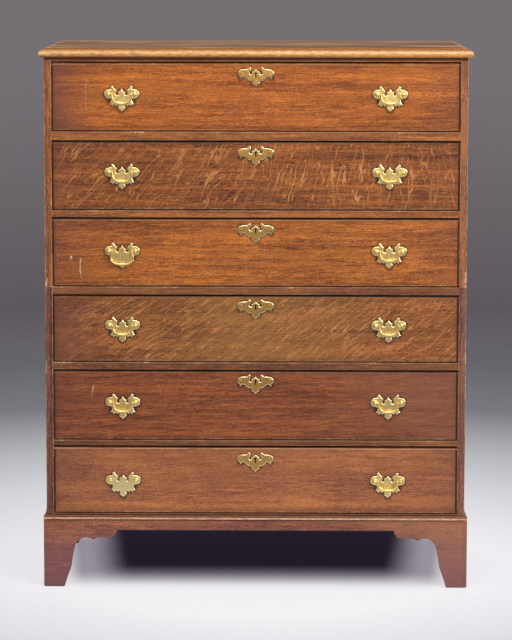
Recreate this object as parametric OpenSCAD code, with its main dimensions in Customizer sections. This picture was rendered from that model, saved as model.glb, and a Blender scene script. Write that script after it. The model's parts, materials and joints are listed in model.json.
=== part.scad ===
// Oak chest-on-chest: a case of three drawers standing on a second case of three drawers,
// on a bracket base, with bat-wing brasses. Millimetres, +Z up, the drawer fronts face -Y.

/* [Case] */
// Width over the case sides
case_w = 1021; // [900:1:1150]
// Depth from the drawer faces to the backs of the backboards
case_d = 510; // [440:1:600]
// Thickness of the case sides
side_t = 18; // [16:0.5:24]
// Thickness of the backboards
back_t = 12; // [8:0.5:14]
// Width of the rebate that takes the backboards
back_rebate_w = 8; // [5:0.5:11]
// Gap between one backboard and the next
back_board_gap = 1; // [0.5:0.1:3]
// Hairline left between pieces that are fitted together in one group
hairline = 0.05; // [0.02:0.01:0.1]
// Depth of the housings in the sides
housing_d = 8; // [5:0.5:11]
// How far behind the front the housings stop
housing_stop = 10; // [6:1:20]

/* [Top board] */
// Thickness of the top board
top_t = 22; // [19:0.5:28]
// How far the top's moulded edge stands past the case
top_overhang = 11.5; // [8:0.5:16]
// Width of the moulded edge, from its nose to the flat of the top
top_mould_w = 15; // [12:0.5:20]
// Height of the square step above the round
top_step_h = 2.8; // [2:0.1:4]
// How far the square step is set in over the round
top_quirk = 1.2; // [0.6:0.1:2]
// Height of the nose of the round above the underside
top_nose_h = 9.5; // [8:0.5:12]
// How far the round runs back in under its nose
top_under_w = 4; // [2:0.5:6]

/* [Rails and boards] */
// Depth of the rails from front to back
rail_d = 60; // [45:1:90]
// Height of the rail under the top board
top_rail_h = 10; // [9:0.2:20]
// Height of the rail under drawer 1
rail_1_h = 21.2; // [14:0.2:30]
// Height of the rail under drawer 2
rail_2_h = 17; // [14:0.2:30]
// Height of the rail under drawer 3, the front edge of the lower case's top
rail_3_h = 19; // [14:0.2:30]
// Height of the rail under drawer 4
rail_4_h = 18.2; // [14:0.2:30]
// Height of the rail under drawer 5
rail_5_h = 13.5; // [12:0.2:30]
// Thickness of the lower case's bottom board
bottom_t = 14; // [11:0.5:20]
// Thickness of the lower case's top board behind its rail
lower_top_t = 12; // [8:0.5:13]
// Thickness of the upper case's bottom board behind drawer 3
upper_bottom_t = 10; // [8:0.5:14]
// Width of the runners and kickers
runner_w = 20; // [14:1:30]
// Height of the runners
runner_h = 14; // [10:0.5:15]
// Length of a drawer stop along the rail
stop_l = 40; // [25:1:60]
// Depth of a drawer stop from front to back
stop_d = 14; // [10:1:20]
// Height of a drawer stop
stop_h = 5; // [4:0.2:5.5]
// Distance of the drawer stops from the middle
stop_x = 300; // [200:5:360]

/* [Drawers] */
// Height of drawer front 1, the top one
drawer_1_h = 163; // [140:0.5:200]
// Height of drawer front 2
drawer_2_h = 163.8; // [140:0.2:200]
// Height of drawer front 3
drawer_3_h = 163.5; // [140:0.5:200]
// Height of drawer front 4
drawer_4_h = 160.5; // [140:0.5:200]
// Height of drawer front 5
drawer_5_h = 168.3; // [140:0.1:200]
// Height of drawer front 6, the bottom one
drawer_6_h = 163; // [140:0.5:200]
// Gap under each drawer front
gap_under = 2; // [1:0.1:3]
// Gap over each drawer front
gap_over = 3.5; // [2:0.1:6]
// Gap at each end of a drawer front
gap_end = 1; // [0.6:0.1:3]
// Thickness of the drawer fronts
front_t = 20; // [18:0.5:26]
// Space between the back of a drawer and the backboards
drawer_room = 28; // [5:1:60]
// Thickness of the drawer sides and back
drawer_side_t = 10; // [8:0.5:14]
// Thickness of the drawer bottom
drawer_bottom_t = 7; // [5:0.5:10]
// Depth of the groove that holds the drawer bottom
groove_d = 4; // [2.5:0.5:5]
// Height of the drawer bottom above the lower edge of the sides
bottom_lift = 6; // [5.5:0.5:10]
// How far the drawer sides stay below the top of the front
side_drop = 4; // [2:0.5:8]
// Clearance between the drawer sides and what they run on
run_clear = 0.3; // [0.2:0.05:0.5]
// Number of dovetails at each front corner
tail_n = 3; // [2:1:5]
// Clearance between a closed drawer front and its stops
stop_gap = 0.3; // [0.1:0.05:0.5]

/* [Cock bead] */
// Width of the bead strip round the drawer fronts
bead_w = 3.4; // [2.4:0.1:5]
// Depth of the bead strip
bead_d = 8; // [6:0.5:9]
// How far the bead stands proud of the drawer face
bead_proud = 1.2; // [0.5:0.1:1.6]

/* [Bracket base] */
// Height of the top edge of the base boards
base_h = 168; // [155:1:190]
// Height of the open space between the feet
skirt_h = 141.7; // [138:0.1:150]
// How far the base stands past the case
base_overhang = 7; // [5:0.5:11]
// Thickness of the base boards
base_t = 20; // [16:0.5:26]
// Worn bevel at the outer lower corner of each foot
foot_bevel = 5; // [1:0.5:8]
// Size of the corner blocks behind the feet
block_w = 28; // [24:1:48]
// Length of the plain rear brackets
rear_bracket_l = 120; // [90:1:150]
// Height of the flat fillet at the bottom of the base moulding
mould_fillet_h = 4.5; // [3:0.5:6]
// Height of the bead along the front
front_bead_h = 5.5; // [4:0.5:8]
// Height of the cove mouldings at the sides
cove_h = 32; // [24:1:40]

/* [Handles] */
// Distance from the middle of the chest to the middle of each handle
handle_x = 323; // [260:1:360]
// Distance between the two posts of a handle
post_spacing = 63.5; // [60:0.5:68]
// Height of the post holes below the top of drawer 1
post_drop_1 = 74.5; // [60:0.5:90]
// Height of the post holes below the top of drawer 2
post_drop_2 = 73; // [60:0.5:90]
// Height of the post holes below the top of drawer 3
post_drop_3 = 78; // [60:0.5:90]
// Height of the post holes below the top of drawer 4
post_drop_4 = 71; // [60:0.5:90]
// Height of the post holes below the top of drawer 5
post_drop_5 = 76; // [60:0.5:90]
// Height of the post holes below the top of drawer 6
post_drop_6 = 82; // [60:0.5:90]
// Thickness of the brass plates
plate_t = 1.6; // [1:0.1:2.4]
// Distance from the drawer face to the middle of the post balls
post_reach = 12.5; // [11:0.5:16]
// Radius of the ball heads of the posts
ball_r = 4.2; // [3.6:0.1:5]
// Radius of the collar at the foot of a post
collar_r = 5.2; // [4:0.1:6.5]
// Thickness of the collar
collar_t = 1.6; // [1:0.1:2.5]
// Radius of the neck of a post
neck_r = 2.5; // [2:0.1:3]
// Radius of the threaded shank of a post
shank_r = 2.4; // [1.8:0.1:3]
// Clearance round the shank in the wood
shank_clear = 0.3; // [0.2:0.05:0.6]
// Width across the square nuts
nut_w = 11; // [9:0.5:14]
// Thickness of the nuts
nut_t = 3.5; // [2.5:0.5:5]
// How far the shank stands past its nut
shank_past = 2; // [1:0.5:4]

/* [Bails] */
// Half the distance between the arms of a bail, at their middles
bail_half_w = 23; // [21:0.5:24]
// Drop from the post holes to the lower edge of the bail
bail_drop = 25; // [22:0.5:30]
// Radius of the bail's bar
bail_r = 2.2; // [1.8:0.1:2.4]
// Radius of the knuckles between the arms and the pintles
knuckle_r = 2.6; // [2.5:0.1:3]
// Radius of the swelled grip
grip_r = 2.8; // [2.5:0.1:3.2]
// How square the bail's bend is: 2 is an ellipse, and more is squarer
bail_square = 2.5; // [2:0.1:4]
// How far the arms of the wide bail, on the left of drawer 3, spread under their pintles
wide_spread = 13.5; // [0:0.5:14]
// Drop from the post holes to the lower edge of the wide bail
wide_drop = 34.5; // [30:0.5:36]
// How far the middle of the wide bail sags below its corners
wide_sag = 5.5; // [0:0.5:8]
// How square the wide bail's bend is
wide_square = 3; // [2:0.1:4]
// Radius of the pintles that turn in the posts
pintle_r = 1.5; // [1.2:0.1:1.8]
// Running clearance round the pintles
pintle_clear = 0.1; // [0.02:0.01:0.1]
// How far the pintles reach past the middle of the ball
pintle_past = 2.4; // [1.5:0.1:2.6]

/* [Keyholes and locks] */
// Height of the keyhole below the top of drawer 1
key_drop_1 = 28; // [24:0.5:40]
// Height of the keyhole below the top of drawer 2
key_drop_2 = 29; // [24:0.5:40]
// Height of the keyhole below the top of drawer 3
key_drop_3 = 29; // [24:0.5:40]
// Height of the keyhole below the top of drawer 4
key_drop_4 = 27; // [24:0.5:40]
// Height of the keyhole below the top of drawer 5
key_drop_5 = 27; // [24:0.5:40]
// Height of the keyhole below the top of drawer 6
key_drop_6 = 32; // [24:0.5:40]
// Radius of the round head of the keyhole
keyhole_r = 2.3; // [1.8:0.1:2.8]
// Width of the keyhole's slot
keyhole_slot_w = 3; // [2:0.1:3.5]
// Length of the keyhole from top to bottom
keyhole_l = 12.5; // [10:0.5:15]
// Extra size of the keyhole cut in the wood
keyhole_wood = 0.8; // [0.4:0.1:1.5]
// Distance from the middle of the chest to each pin of a keyhole plate
plate_pin_x = 34.9; // [30:0.1:37]
// Radius of the heads of the plate pins
plate_pin_r = 1.5; // [1:0.1:2]
// Width of the lock case
lock_w = 62; // [50:1:76]
// Height of the lock case
lock_h = 46; // [42:1:60]
// Thickness of the lock case
lock_t = 10.5; // [9:0.5:10.5]
// Thickness of the lock's top plate
selvedge_t = 2; // [1.5:0.1:3]
// How far the top plate reaches past the lock case at each end
selvedge_past = 6; // [4:0.5:12]
// Width of the bolt
bolt_w = 24; // [16:1:34]
// Thickness of the bolt
bolt_t = 5; // [4:0.5:6]
// Height of the bolt
bolt_h = 18; // [14:0.5:18]
// How far the bolt rises
bolt_throw = 8; // [5:0.5:9]
// Clearance round the bolt
bolt_clear = 0.3; // [0.2:0.05:0.5]
// Clearance round the bolt in the rail above
mortise_clear = 1; // [0.5:0.1:2]
// Radius of the space in which the key turns
key_turn_r = 7; // [5:0.5:8]

/* [Hidden] */
$fn = 48;
eps = 0.01;

// The depth is centred over everything, so the drawer faces lie half the post heads' reach
// behind the front of the box. Below, y counts from the drawer faces towards the back.
face_y = -(case_d - post_reach - ball_r) / 2;

// Lists by drawer, the first entry unused so that index 1 is the top drawer.
front_h = [0, drawer_1_h, drawer_2_h, drawer_3_h, drawer_4_h, drawer_5_h, drawer_6_h];
rail_under_h = [top_rail_h, rail_1_h, rail_2_h, rail_3_h, rail_4_h, rail_5_h, bottom_t];
post_drop = [0, post_drop_1, post_drop_2, post_drop_3, post_drop_4, post_drop_5, post_drop_6];
key_drop = [0, key_drop_1, key_drop_2, key_drop_3, key_drop_4, key_drop_5, key_drop_6];

// Height of the top of the rail or board under drawer n.
function floor_z(n) = n == 6 ? base_h + bottom_t : rail_z(n) + rail_under_h[n];
// Height of the underside of rail n, which lies over drawer n + 1.
function rail_z(n) = floor_z(n + 1) + gap_under + front_h[n + 1] + gap_over;
function front_z(n) = floor_z(n) + gap_under;
function front_top(n) = front_z(n) + front_h[n];
seam_z = floor_z(3);
case_top = rail_z(0) + top_rail_h;

// What the drawer's sides run on: drawer 3 has the upper case's bottom board under it.
function run_z(n) = floor_z(n) + (n == 3 ? upper_bottom_t : 0);
function box_z(n) = run_z(n) + run_clear;
function box_h(n) = front_top(n) - side_drop - box_z(n);
function post_z(n) = front_top(n) - post_drop[n];
function key_z(n) = front_top(n) - key_drop[n];

inner_w = case_w - 2 * side_t;
front_w = inner_w - 2 * gap_end;
inner_d = case_d - back_t;
drawer_d = inner_d - drawer_room;
upper_bottom_y = front_t + stop_gap;
tail_l = front_t - bead_d - 1;
base_w = case_w + 2 * base_overhang;
base_side_d = case_d + base_overhang;
mortise_d = bolt_throw - gap_over + 1.5;
bolt_y = front_t - lock_t / 2;
pintle_hole_r = pintle_r + pintle_clear;

// Colours
oak_top = "#8a7262";
oak_side = "#6b3f2c";
oak_rail = "#7a4634";
oak_inside = "#b08a5c";
oak_base = "#5a3430";
oak_front = ["", "#a5592f", "#84492f", "#a3632f", "#855832", "#7a3f30", "#9a5f45"];
brass = "#c9a94e";
iron = "#4c4a48";

// General shapes

// Largest turn of an arc between two of its points, in degrees
arc_step = 24;

// Rings along a bail's bar, and sides round it
bail_rings = 26;
bail_sides = 10;

// Points of a line of [x, y, bulge] corners. The stretch after a corner is an
// arc whose rise is bulge times half its chord, to the left of the way for a positive bulge.
function arc_points(a, b, bulge) =
    bulge == 0 ? [[a[0], a[1]]] :
    let (chord = [b[0] - a[0], b[1] - a[1]],
         half = norm(chord) / 2,
         sweep = 4 * atan(abs(bulge)),
         steps = max(2, ceil(sweep / arc_step)),
         r = half / sin(sweep / 2),
         side = bulge > 0 ? 1 : -1,
         left = [-chord[1], chord[0]] / norm(chord) * side,
         mid = [(a[0] + b[0]) / 2, (a[1] + b[1]) / 2],
         centre = mid - left * r * cos(sweep / 2),
         from = atan2(a[1] - centre[1], a[0] - centre[0]))
    [for (i = [0:steps - 1])
        let (t = from - side * sweep * i / steps)
        centre + r * [cos(t), sin(t)]];

function arc_line(points) = [
    for (i = [0:len(points) - 1])
        let (a = points[i], b = points[min(i + 1, len(points) - 1)])
        each (i == len(points) - 1 ? [[a[0], a[1]]] : arc_points(a, b, a[2]))
];

// A half outline, from the top tip down the right side to the bottom tip, and its mirror image.
module mirrored_outline(half) {
    line = arc_line(half);
    polygon(line);
    mirror([1, 0]) polygon(line);
}

// A block given by its low and high corners.
module block(low, high) {
    translate(low) cube(high - low);
}

module at_face() {
    translate([0, face_y, 0]) children();
}

module both_sides() {
    children();
    mirror([1, 0, 0]) children();
}

// Case

// One side board of a case. boards lists what is housed in it, as
// [low z, high z, front y, back y].
module case_side(z0, z1, boards, colour) {
    color(colour) at_face() difference() {
        block([case_w / 2 - side_t, 0, z0], [case_w / 2, case_d, z1]);
        block([case_w / 2 - side_t - eps, inner_d, z0 - eps],
              [case_w / 2 - side_t + back_rebate_w, case_d + eps, z1 + eps]);
        for (b = boards)
            block([case_w / 2 - side_t - eps, b[2], b[0]],
                  [case_w / 2 - side_t + housing_d, b[3], b[1]]);
    }
}

function rail_housing(z, h) = [z, z + h, housing_stop, rail_d];

upper_boards = [
    rail_housing(rail_z(0), top_rail_h),
    rail_housing(rail_z(1), rail_1_h),
    rail_housing(rail_z(2), rail_2_h),
    [seam_z - eps, seam_z + upper_bottom_t, upper_bottom_y, inner_d + eps]
];
lower_boards = [
    rail_housing(rail_z(3), rail_3_h + eps),
    rail_housing(rail_z(4), rail_4_h),
    rail_housing(rail_z(5), rail_5_h),
    [seam_z - lower_top_t, seam_z + eps, rail_d - eps, inner_d + eps],
    [base_h - eps, base_h + bottom_t, housing_stop, inner_d + eps]
];
module upper_right_side() case_side(seam_z, case_top, upper_boards, oak_side);
module upper_left_side() mirror([1, 0, 0]) upper_right_side();
module lower_right_side() case_side(base_h, seam_z, lower_boards, oak_side);
module lower_left_side() mirror([1, 0, 0]) lower_right_side();

// A rail between the sides, its ends housed in them, with the mortise for the bolt of the
// drawer under it.
module rail(z, h) {
    at_face() difference() {
        union() {
            block([-inner_w / 2, 0, z], [inner_w / 2, rail_d, z + h]);
            block([-inner_w / 2 - housing_d, housing_stop, z],
                  [inner_w / 2 + housing_d, rail_d, z + h]);
        }
        block([-bolt_w / 2 - mortise_clear, bolt_y - bolt_t / 2 - mortise_clear, z - eps],
              [bolt_w / 2 + mortise_clear, bolt_y + bolt_t / 2 + mortise_clear, z + mortise_d]);
    }
}

// Two blocks on the rail that stop the drawer with its face in line with the case.
module stops(n) {
    at_face() both_sides()
        block([stop_x - stop_l / 2, front_t + stop_gap, floor_z(n) + hairline],
              [stop_x + stop_l / 2, front_t + stop_gap + stop_d, floor_z(n) + stop_h]);
}

module upper_rails() {
    color(oak_rail) {
        rail(rail_z(0), top_rail_h);
        rail(rail_z(1), rail_1_h);
        rail(rail_z(2), rail_2_h);
        stops(1);
        stops(2);
    }
}

module lower_rails() {
    color(oak_rail) {
        rail(rail_z(3), rail_3_h);
        rail(rail_z(4), rail_4_h);
        rail(rail_z(5), rail_5_h);
        stops(4);
        stops(5);
        stops(6);
    }
}

// A board right across the case, from y0 to the backboards, housed in both sides.
module cross_board(z, t, y0, stop) {
    at_face() {
        block([-inner_w / 2, y0, z], [inner_w / 2, inner_d, z + t]);
        both_sides()
            block([inner_w / 2, y0 + stop, z], [inner_w / 2 + housing_d, inner_d, z + t]);
    }
}

module upper_bottom_board() color(oak_inside) union()
    cross_board(seam_z, upper_bottom_t, upper_bottom_y, 0);
module lower_top_board() color(oak_inside) union()
    cross_board(seam_z - lower_top_t, lower_top_t, rail_d, 0);
module lower_bottom_board() color(oak_rail) union()
    cross_board(base_h, bottom_t, 0, housing_stop);

// Upright boards side by side in the rebates of the sides.
back_board_n = 4;
module backboards(z0, z1) {
    w = inner_w + 2 * back_rebate_w;
    pitch = w / back_board_n;
    color(oak_inside) at_face() for (i = [0:back_board_n - 1])
        block([-w / 2 + i * pitch + back_board_gap / 2, inner_d, z0],
              [-w / 2 + (i + 1) * pitch - back_board_gap / 2, case_d, z1]);
}
module upper_backboards() backboards(seam_z, case_top);
module lower_backboards() backboards(base_h, seam_z);

// A pair of strips on the sides, from behind the rail to the backboards.
module strips(z0, z1) {
    at_face() both_sides()
        block([inner_w / 2 - runner_w, rail_d, z0], [inner_w / 2, inner_d, z1]);
}
kicker_clear = 1;
function kicker_z(n) = box_z(n) + box_h(n) + kicker_clear;

module upper_runners() {
    color(oak_inside) {
        strips(floor_z(1) - runner_h, floor_z(1));
        strips(floor_z(2) - runner_h, floor_z(2));
        strips(kicker_z(1), case_top);
    }
}
module lower_runners() {
    color(oak_inside) {
        strips(floor_z(4) - runner_h, floor_z(4));
        strips(floor_z(5) - runner_h, floor_z(5));
        strips(kicker_z(4), seam_z - lower_top_t);
    }
}

// Section of the top board's moulded edge. x = 0 at the case side and z = 0 at the underside:
// a quarter of an ellipse over the nose, a flatter one under it, and a square step on top.
edge_steps = 8;
function quarter(cx, cz, a, b, from, to) = [
    for (i = [0:edge_steps])
        let (t = from + (to - from) * i / edge_steps)
        [cx + a * cos(t), cz + b * sin(t)]
];
function top_edge(x) =
    let (nose = x + top_overhang,
         step = nose - top_mould_w,
         shoulder = top_t - top_step_h)
    concat(
        quarter(nose - top_under_w, top_nose_h, top_under_w, top_nose_h, -90, 0),
        quarter(step - top_quirk, top_nose_h, nose - step + top_quirk, shoulder - top_nose_h,
                5, 90),
        [[step - top_quirk, shoulder], [step, shoulder + 0.6], [step, top_t]]);

// Seen from above, every level of the board is a rectangle, so the edges carried along both
// ways and crossed give mitred corners.
module top_board() {
    side_edge = top_edge(case_w / 2);
    front_edge = top_edge(0);
    reach = case_w;
    color(oak_top) at_face() translate([0, 0, case_top]) intersection() {
        translate([0, reach, 0]) rotate([90, 0, 0]) linear_extrude(2 * reach)
            polygon(concat(side_edge, [for (i = [len(side_edge) - 1:-1:0])
                [-side_edge[i][0], side_edge[i][1]]]));
        translate([-reach, 0, 0]) rotate([90, 0, 90]) linear_extrude(2 * reach)
            polygon(concat([for (p = front_edge) [-p[0], p[1]]],
                           [[case_d, top_t], [case_d, 0]]));
    }
}

// Bracket base

// The foot and bracket, from the outer end inwards, as [from the end, height, bulge].
foot_line = [
    [0, foot_bevel, 0], [foot_bevel, 0, 0], [50, 0, 0.02], [66, 47, 0.03], [75, 97, 0.24],
    [88, 117.5, 0.3], [113, 121, 0], [122.5, 117, 0.35], [137, 122.4, 0], [166, 123, -0.3],
    [179, skirt_h, 0]
];

// A base board of length l standing in the XY plane, seen from outside. far_end is 1 for a
// second foot at the other end.
module base_outline(l) {
    line = arc_line(foot_line);
    polygon(concat(line, [for (i = [len(line) - 1:-1:0]) [l - line[i][0], line[i][1]]],
                   [[l, base_h], [0, base_h]]));
}

// The space outside the mitre at the front right corner.
module mitre_cut() {
    corner = [base_w / 2, -base_overhang];
    reach = 2 * base_t;
    translate([0, 0, -1]) linear_extrude(base_h + 2)
        polygon([corner + [reach, -reach], corner + [-reach, reach], corner + [reach, reach]]);
}

module base_front_board() {
    color(oak_base) at_face() difference() {
        translate([-base_w / 2, base_t - base_overhang, 0]) rotate([90, 0, 0])
            linear_extrude(base_t) base_outline(base_w);
        both_sides() mitre_cut();
    }
}

module base_right_board() {
    color(oak_base) at_face() intersection() {
        translate([base_w / 2 - base_t, -base_overhang, 0]) rotate([90, 0, 90])
            linear_extrude(base_t) base_outline(base_side_d);
        union() {
            mitre_cut();
            block([0, base_t, -1], [base_w, base_side_d, base_h + 1]);
        }
    }
}
module base_left_board() mirror([1, 0, 0]) base_right_board();

// Bead on a fillet along the front, and a cove on a fillet along each side. Both stand on the
// top edge of the base boards, against the case.
module base_moulding() {
    bead_r = front_bead_h / 2;
    cove_r = cove_h - mould_fillet_h;
    color(oak_base) at_face() {
        translate([-base_w / 2, 0, base_h]) rotate([90, 0, 90]) linear_extrude(base_w) union() {
            translate([-base_overhang, 0]) square([base_overhang, mould_fillet_h]);
            translate([-base_overhang + bead_r + 1, mould_fillet_h])
                square([base_overhang - bead_r - 1, front_bead_h]);
            translate([-base_overhang + bead_r + 1, mould_fillet_h + bead_r]) circle(bead_r);
        }
        both_sides() translate([case_w / 2, case_d, base_h]) rotate([90, 0, 0])
            linear_extrude(case_d - hairline) difference() {
                square([base_overhang, cove_h]);
                translate([base_overhang + cove_centre, cove_h]) circle(cove_round, $fn = 96);
            }
    }
}
// The cove is an arc through the top of the moulding at the case and the fillet's outer edge.
cove_rise = cove_h - mould_fillet_h;
cove_round = (cove_rise * cove_rise + base_overhang * base_overhang) / (2 * base_overhang);
cove_centre = cove_round - base_overhang;

// Blocks in the four corners behind the feet, and a plain bracket behind each rear foot.
module foot_blocks() {
    inner_x = base_w / 2 - base_t;
    color(oak_inside) at_face() both_sides() {
        block([inner_x - block_w, base_t - base_overhang, 0],
              [inner_x, base_t - base_overhang + block_w, base_h]);
        block([inner_x - block_w, case_d - base_t - block_w, 0],
              [inner_x, case_d - base_t - hairline, base_h]);
        translate([inner_x, case_d, 0]) rotate([90, 0, 0]) linear_extrude(base_t)
            polygon([[0, 0], [-block_w, 0], [-rear_bracket_l, base_h - block_w / 2],
                     [-rear_bracket_l, base_h], [0, base_h]]);
    }
}

// Drawers

// The dovetails of one corner, seen from the side: y from the face, z from the box's edge.
module tails(n) {
    pitch = box_h(n) / tail_n;
    root = pitch * 0.27;
    tip = pitch * 0.35;
    for (i = [0:tail_n - 1])
        translate([0, (i + 0.5) * pitch])
            polygon([[front_t, -root], [front_t - tail_l, -tip], [front_t - tail_l, tip],
                     [front_t, root]]);
}

module tail_solids(n) {
    translate([front_w / 2 - drawer_side_t, 0, box_z(n)]) rotate([90, 0, 90])
        linear_extrude(drawer_side_t) tails(n);
}

// Bottom panel, a little larger when it is the groove.
module bottom_panel(n, extra = 0) {
    x = front_w / 2 - drawer_side_t + groove_d;
    z = box_z(n) + bottom_lift;
    block([-x - extra, front_t - groove_d - extra, z - extra],
          [x + extra, drawer_d + extra, z + drawer_bottom_t + extra]);
}

// A keyhole: a round head over a slot, centred on its own height.
module keyhole(grow = 0) {
    head_y = keyhole_l / 2 - keyhole_r;
    translate([0, head_y]) circle(keyhole_r + grow);
    translate([-keyhole_slot_w / 2 - grow, -keyhole_l / 2 - grow])
        square([keyhole_slot_w + 2 * grow, head_y + keyhole_l / 2 + grow]);
}

// Stands a flat shape up behind the face, from y0 to y1, with the shape's y upwards.
module upright(y0, y1) {
    translate([0, y1, 0]) rotate([90, 0, 0]) linear_extrude(y1 - y0) children();
}

module post_places(n) {
    for (side = [-1, 1], post = [-1, 1])
        translate([side * handle_x + post * post_spacing / 2, 0, post_z(n)]) children();
}

// One strip of bead, l long with mitred ends, its outer edge along the X axis and its width
// downwards.
module bead_strip(l) {
    intersection() {
        translate([-l / 2, 0, 0]) rotate([90, 0, 90]) linear_extrude(l) {
            translate([bead_w / 2 - bead_proud, -bead_w])
                square([bead_d - bead_w / 2 + bead_proud - hairline, bead_w]);
            translate([bead_w / 2 - bead_proud, -bead_w / 2]) circle(bead_w / 2, $fn = 24);
        }
        upright(-bead_proud - 1, bead_d + 1)
            polygon([[-l / 2 + hairline, 0], [l / 2 - hairline, 0],
                     [l / 2 - bead_w - hairline, -bead_w],
                     [-l / 2 + bead_w + hairline, -bead_w]]);
    }
}

module drawer_beads(n) {
    h = front_h[n];
    translate([0, 0, front_z(n) + h / 2]) {
        translate([0, 0, h / 2]) bead_strip(front_w);
        rotate([0, 180, 0]) translate([0, 0, h / 2]) bead_strip(front_w);
        for (turn = [90, -90])
            rotate([0, turn, 0]) translate([0, 0, front_w / 2]) bead_strip(h);
    }
}

module drawer_front(n) {
    rebate = bead_w + hairline;
    color(oak_front[n]) at_face() {
        difference() {
            union() {
                block([-front_w / 2 + rebate, 0, front_z(n) + rebate],
                      [front_w / 2 - rebate, bead_d, front_top(n) - rebate]);
                block([-front_w / 2, bead_d, front_z(n)], [front_w / 2, front_t, front_top(n)]);
            }
            both_sides() tail_solids(n);
            bottom_panel(n, hairline);
            post_places(n) rotate([-90, 0, 0]) translate([0, 0, -1])
                cylinder(r = shank_r + shank_clear, h = front_t + 2);
            translate([0, 0, key_z(n)]) upright(-1, front_t) keyhole(keyhole_wood);
            lock_space(n);
        }
        drawer_beads(n);
    }
}

module drawer_box(n) {
    z0 = box_z(n);
    z1 = z0 + box_h(n);
    panel_top = z0 + bottom_lift + drawer_bottom_t + hairline;
    inside_x = front_w / 2 - drawer_side_t;
    color(oak_inside) at_face() {
        both_sides() difference() {
            union() {
                block([inside_x, front_t, z0], [front_w / 2, drawer_d, z1]);
                tail_solids(n);
            }
            bottom_panel(n, hairline);
        }
        block([-inside_x + hairline, drawer_d - drawer_side_t, panel_top],
              [inside_x - hairline, drawer_d, z1]);
        bottom_panel(n);
    }
}

// Locks

// Room in the drawer front for the lock and its top plate.
module lock_space(n) {
    top = front_top(n);
    block([-lock_w / 2, front_t - lock_t, top - lock_h], [lock_w / 2, front_t + 1, top + 1]);
    block([-lock_w / 2 - selvedge_past, front_t - lock_t, top - selvedge_t],
          [lock_w / 2 + selvedge_past, front_t + 1, top + 1]);
}

module drawer_lock(n) {
    top = front_top(n);
    cut_w = bolt_w / 2 + bolt_clear;
    cut_t = bolt_t / 2 + bolt_clear;
    color(iron) at_face() difference() {
        union() {
            block([-lock_w / 2, front_t - lock_t, top - lock_h], [lock_w / 2, front_t, top]);
            block([-lock_w / 2 - selvedge_past, front_t - lock_t, top - selvedge_t],
                  [lock_w / 2 + selvedge_past, front_t, top]);
        }
        block([-cut_w, bolt_y - cut_t, top - bolt_h - 2 * bolt_clear],
              [cut_w, bolt_y + cut_t, top + 1]);
        translate([0, bolt_y + cut_t, key_z(n) - keyhole_l / 4]) rotate([90, 0, 0])
            cylinder(r = key_turn_r, h = 2 * cut_t);
        translate([0, 0, key_z(n)]) upright(0, bolt_y) keyhole(0);
    }
}

module drawer_bolt(n) {
    top = front_top(n) - bolt_clear;
    color(iron) at_face()
        block([-bolt_w / 2, bolt_y - bolt_t / 2, top - bolt_h],
              [bolt_w / 2, bolt_y + bolt_t / 2, top]);
}

// Brasses

// Bat-wing handle plate, from its top tip down the right side, about the middle of the posts.
// The wing is an arc round the post.
handle_half = [
    [0, 14.4, -0.15], [5, 6.6, 0.3], [8.8, 2.4, -0.5], [9.6, -2.6, -0.4], [14.6, -1, -0.3],
    [13.4, 5, 0.25], [13.8, 10.6, -0.15], [17, 13.4, -0.15], [20.4, 19.2, 0.3],
    [26.6, 17, 0.15], [25.4, 11.6, 0.05], [32, 10.8, 0.414], [42.6, 0, 0.414],
    [32, -10.8, -0.15], [25, -13.2, -0.2], [26.4, -18, -0.25], [30.6, -24.6, 0.15],
    [26, -26, -0.2], [22.2, -30.8, 0.1], [19, -26.4, -0.3], [14.2, -29.8, 0.1],
    [10.2, -27.4, -0.2], [6.6, -29.8, 0.3], [8.8, -33.6, 0.25], [4.2, -39, -0.15],
    [0, -43.5, 0]
];

// Bat-wing keyhole plate, about the middle of the keyhole.
key_plate_half = [
    [0, 13.6, -0.1], [5, 9.2, 0.15], [10.8, 5.8, -0.3], [9, 1.9, -0.5], [14.8, 3, -0.2],
    [13.4, 8.4, 0.2], [12, 13.6, 0.3], [14, 18.8, 0.3], [18.6, 15.4, -0.15], [24, 13.6, 0.08],
    [35, 12.8, 0.25], [43.4, 6.4, 0.2], [42.2, -1, 0.1], [38.8, -5, -0.2], [38.6, -12.2, 0.1],
    [34, -6.6, -0.15], [28.6, -5.4, -0.2], [24, -8.6, 0.1], [15.8, -14.6, -0.1],
    [9.6, -15.4, -0.3], [10, -19.8, 0.2], [5.6, -23.8, -0.15], [0, -29.5, 0]
];

// A post with its collar, neck and ball, drilled from its inner side for the pintle. Its axis
// runs along Y and side is 1 for the right post of a handle.
module post(side) {
    color(brass) difference() {
        union() {
            rotate([90, 0, 0]) translate([0, 0, plate_t + hairline])
                cylinder(r = collar_r, h = collar_t);
            rotate([90, 0, 0]) cylinder(r = neck_r, h = post_reach);
            translate([0, -post_reach, 0]) rotate([0, 0, -90]) sphere(ball_r);
            rotate([-90, 0, 0]) cylinder(r = shank_r, h = front_t + nut_t + shank_past);
        }
        translate([0, -post_reach, 0]) rotate([0, -90 * side, 0])
            translate([0, 0, -pintle_past - pintle_clear])
                cylinder(r = pintle_hole_r, h = 3 * ball_r);
    }
}

module nut() {
    translate([0, front_t, 0]) rotate([-90, 0, 0]) difference() {
        translate([-nut_w / 2, -nut_w / 2, 0]) cube([nut_w, nut_w, nut_t]);
        translate([0, 0, -1]) cylinder(r = shank_r + hairline, h = nut_t + 2);
    }
}

module handle_plate() {
    difference() {
        upright(-plate_t, 0) mirrored_outline(handle_half);
        for (post = [-1, 1])
            translate([post * post_spacing / 2, 0, 0]) rotate([90, 0, 0])
                translate([0, 0, -1]) cylinder(r = neck_r + hairline, h = plate_t + 2);
    }
}

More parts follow.
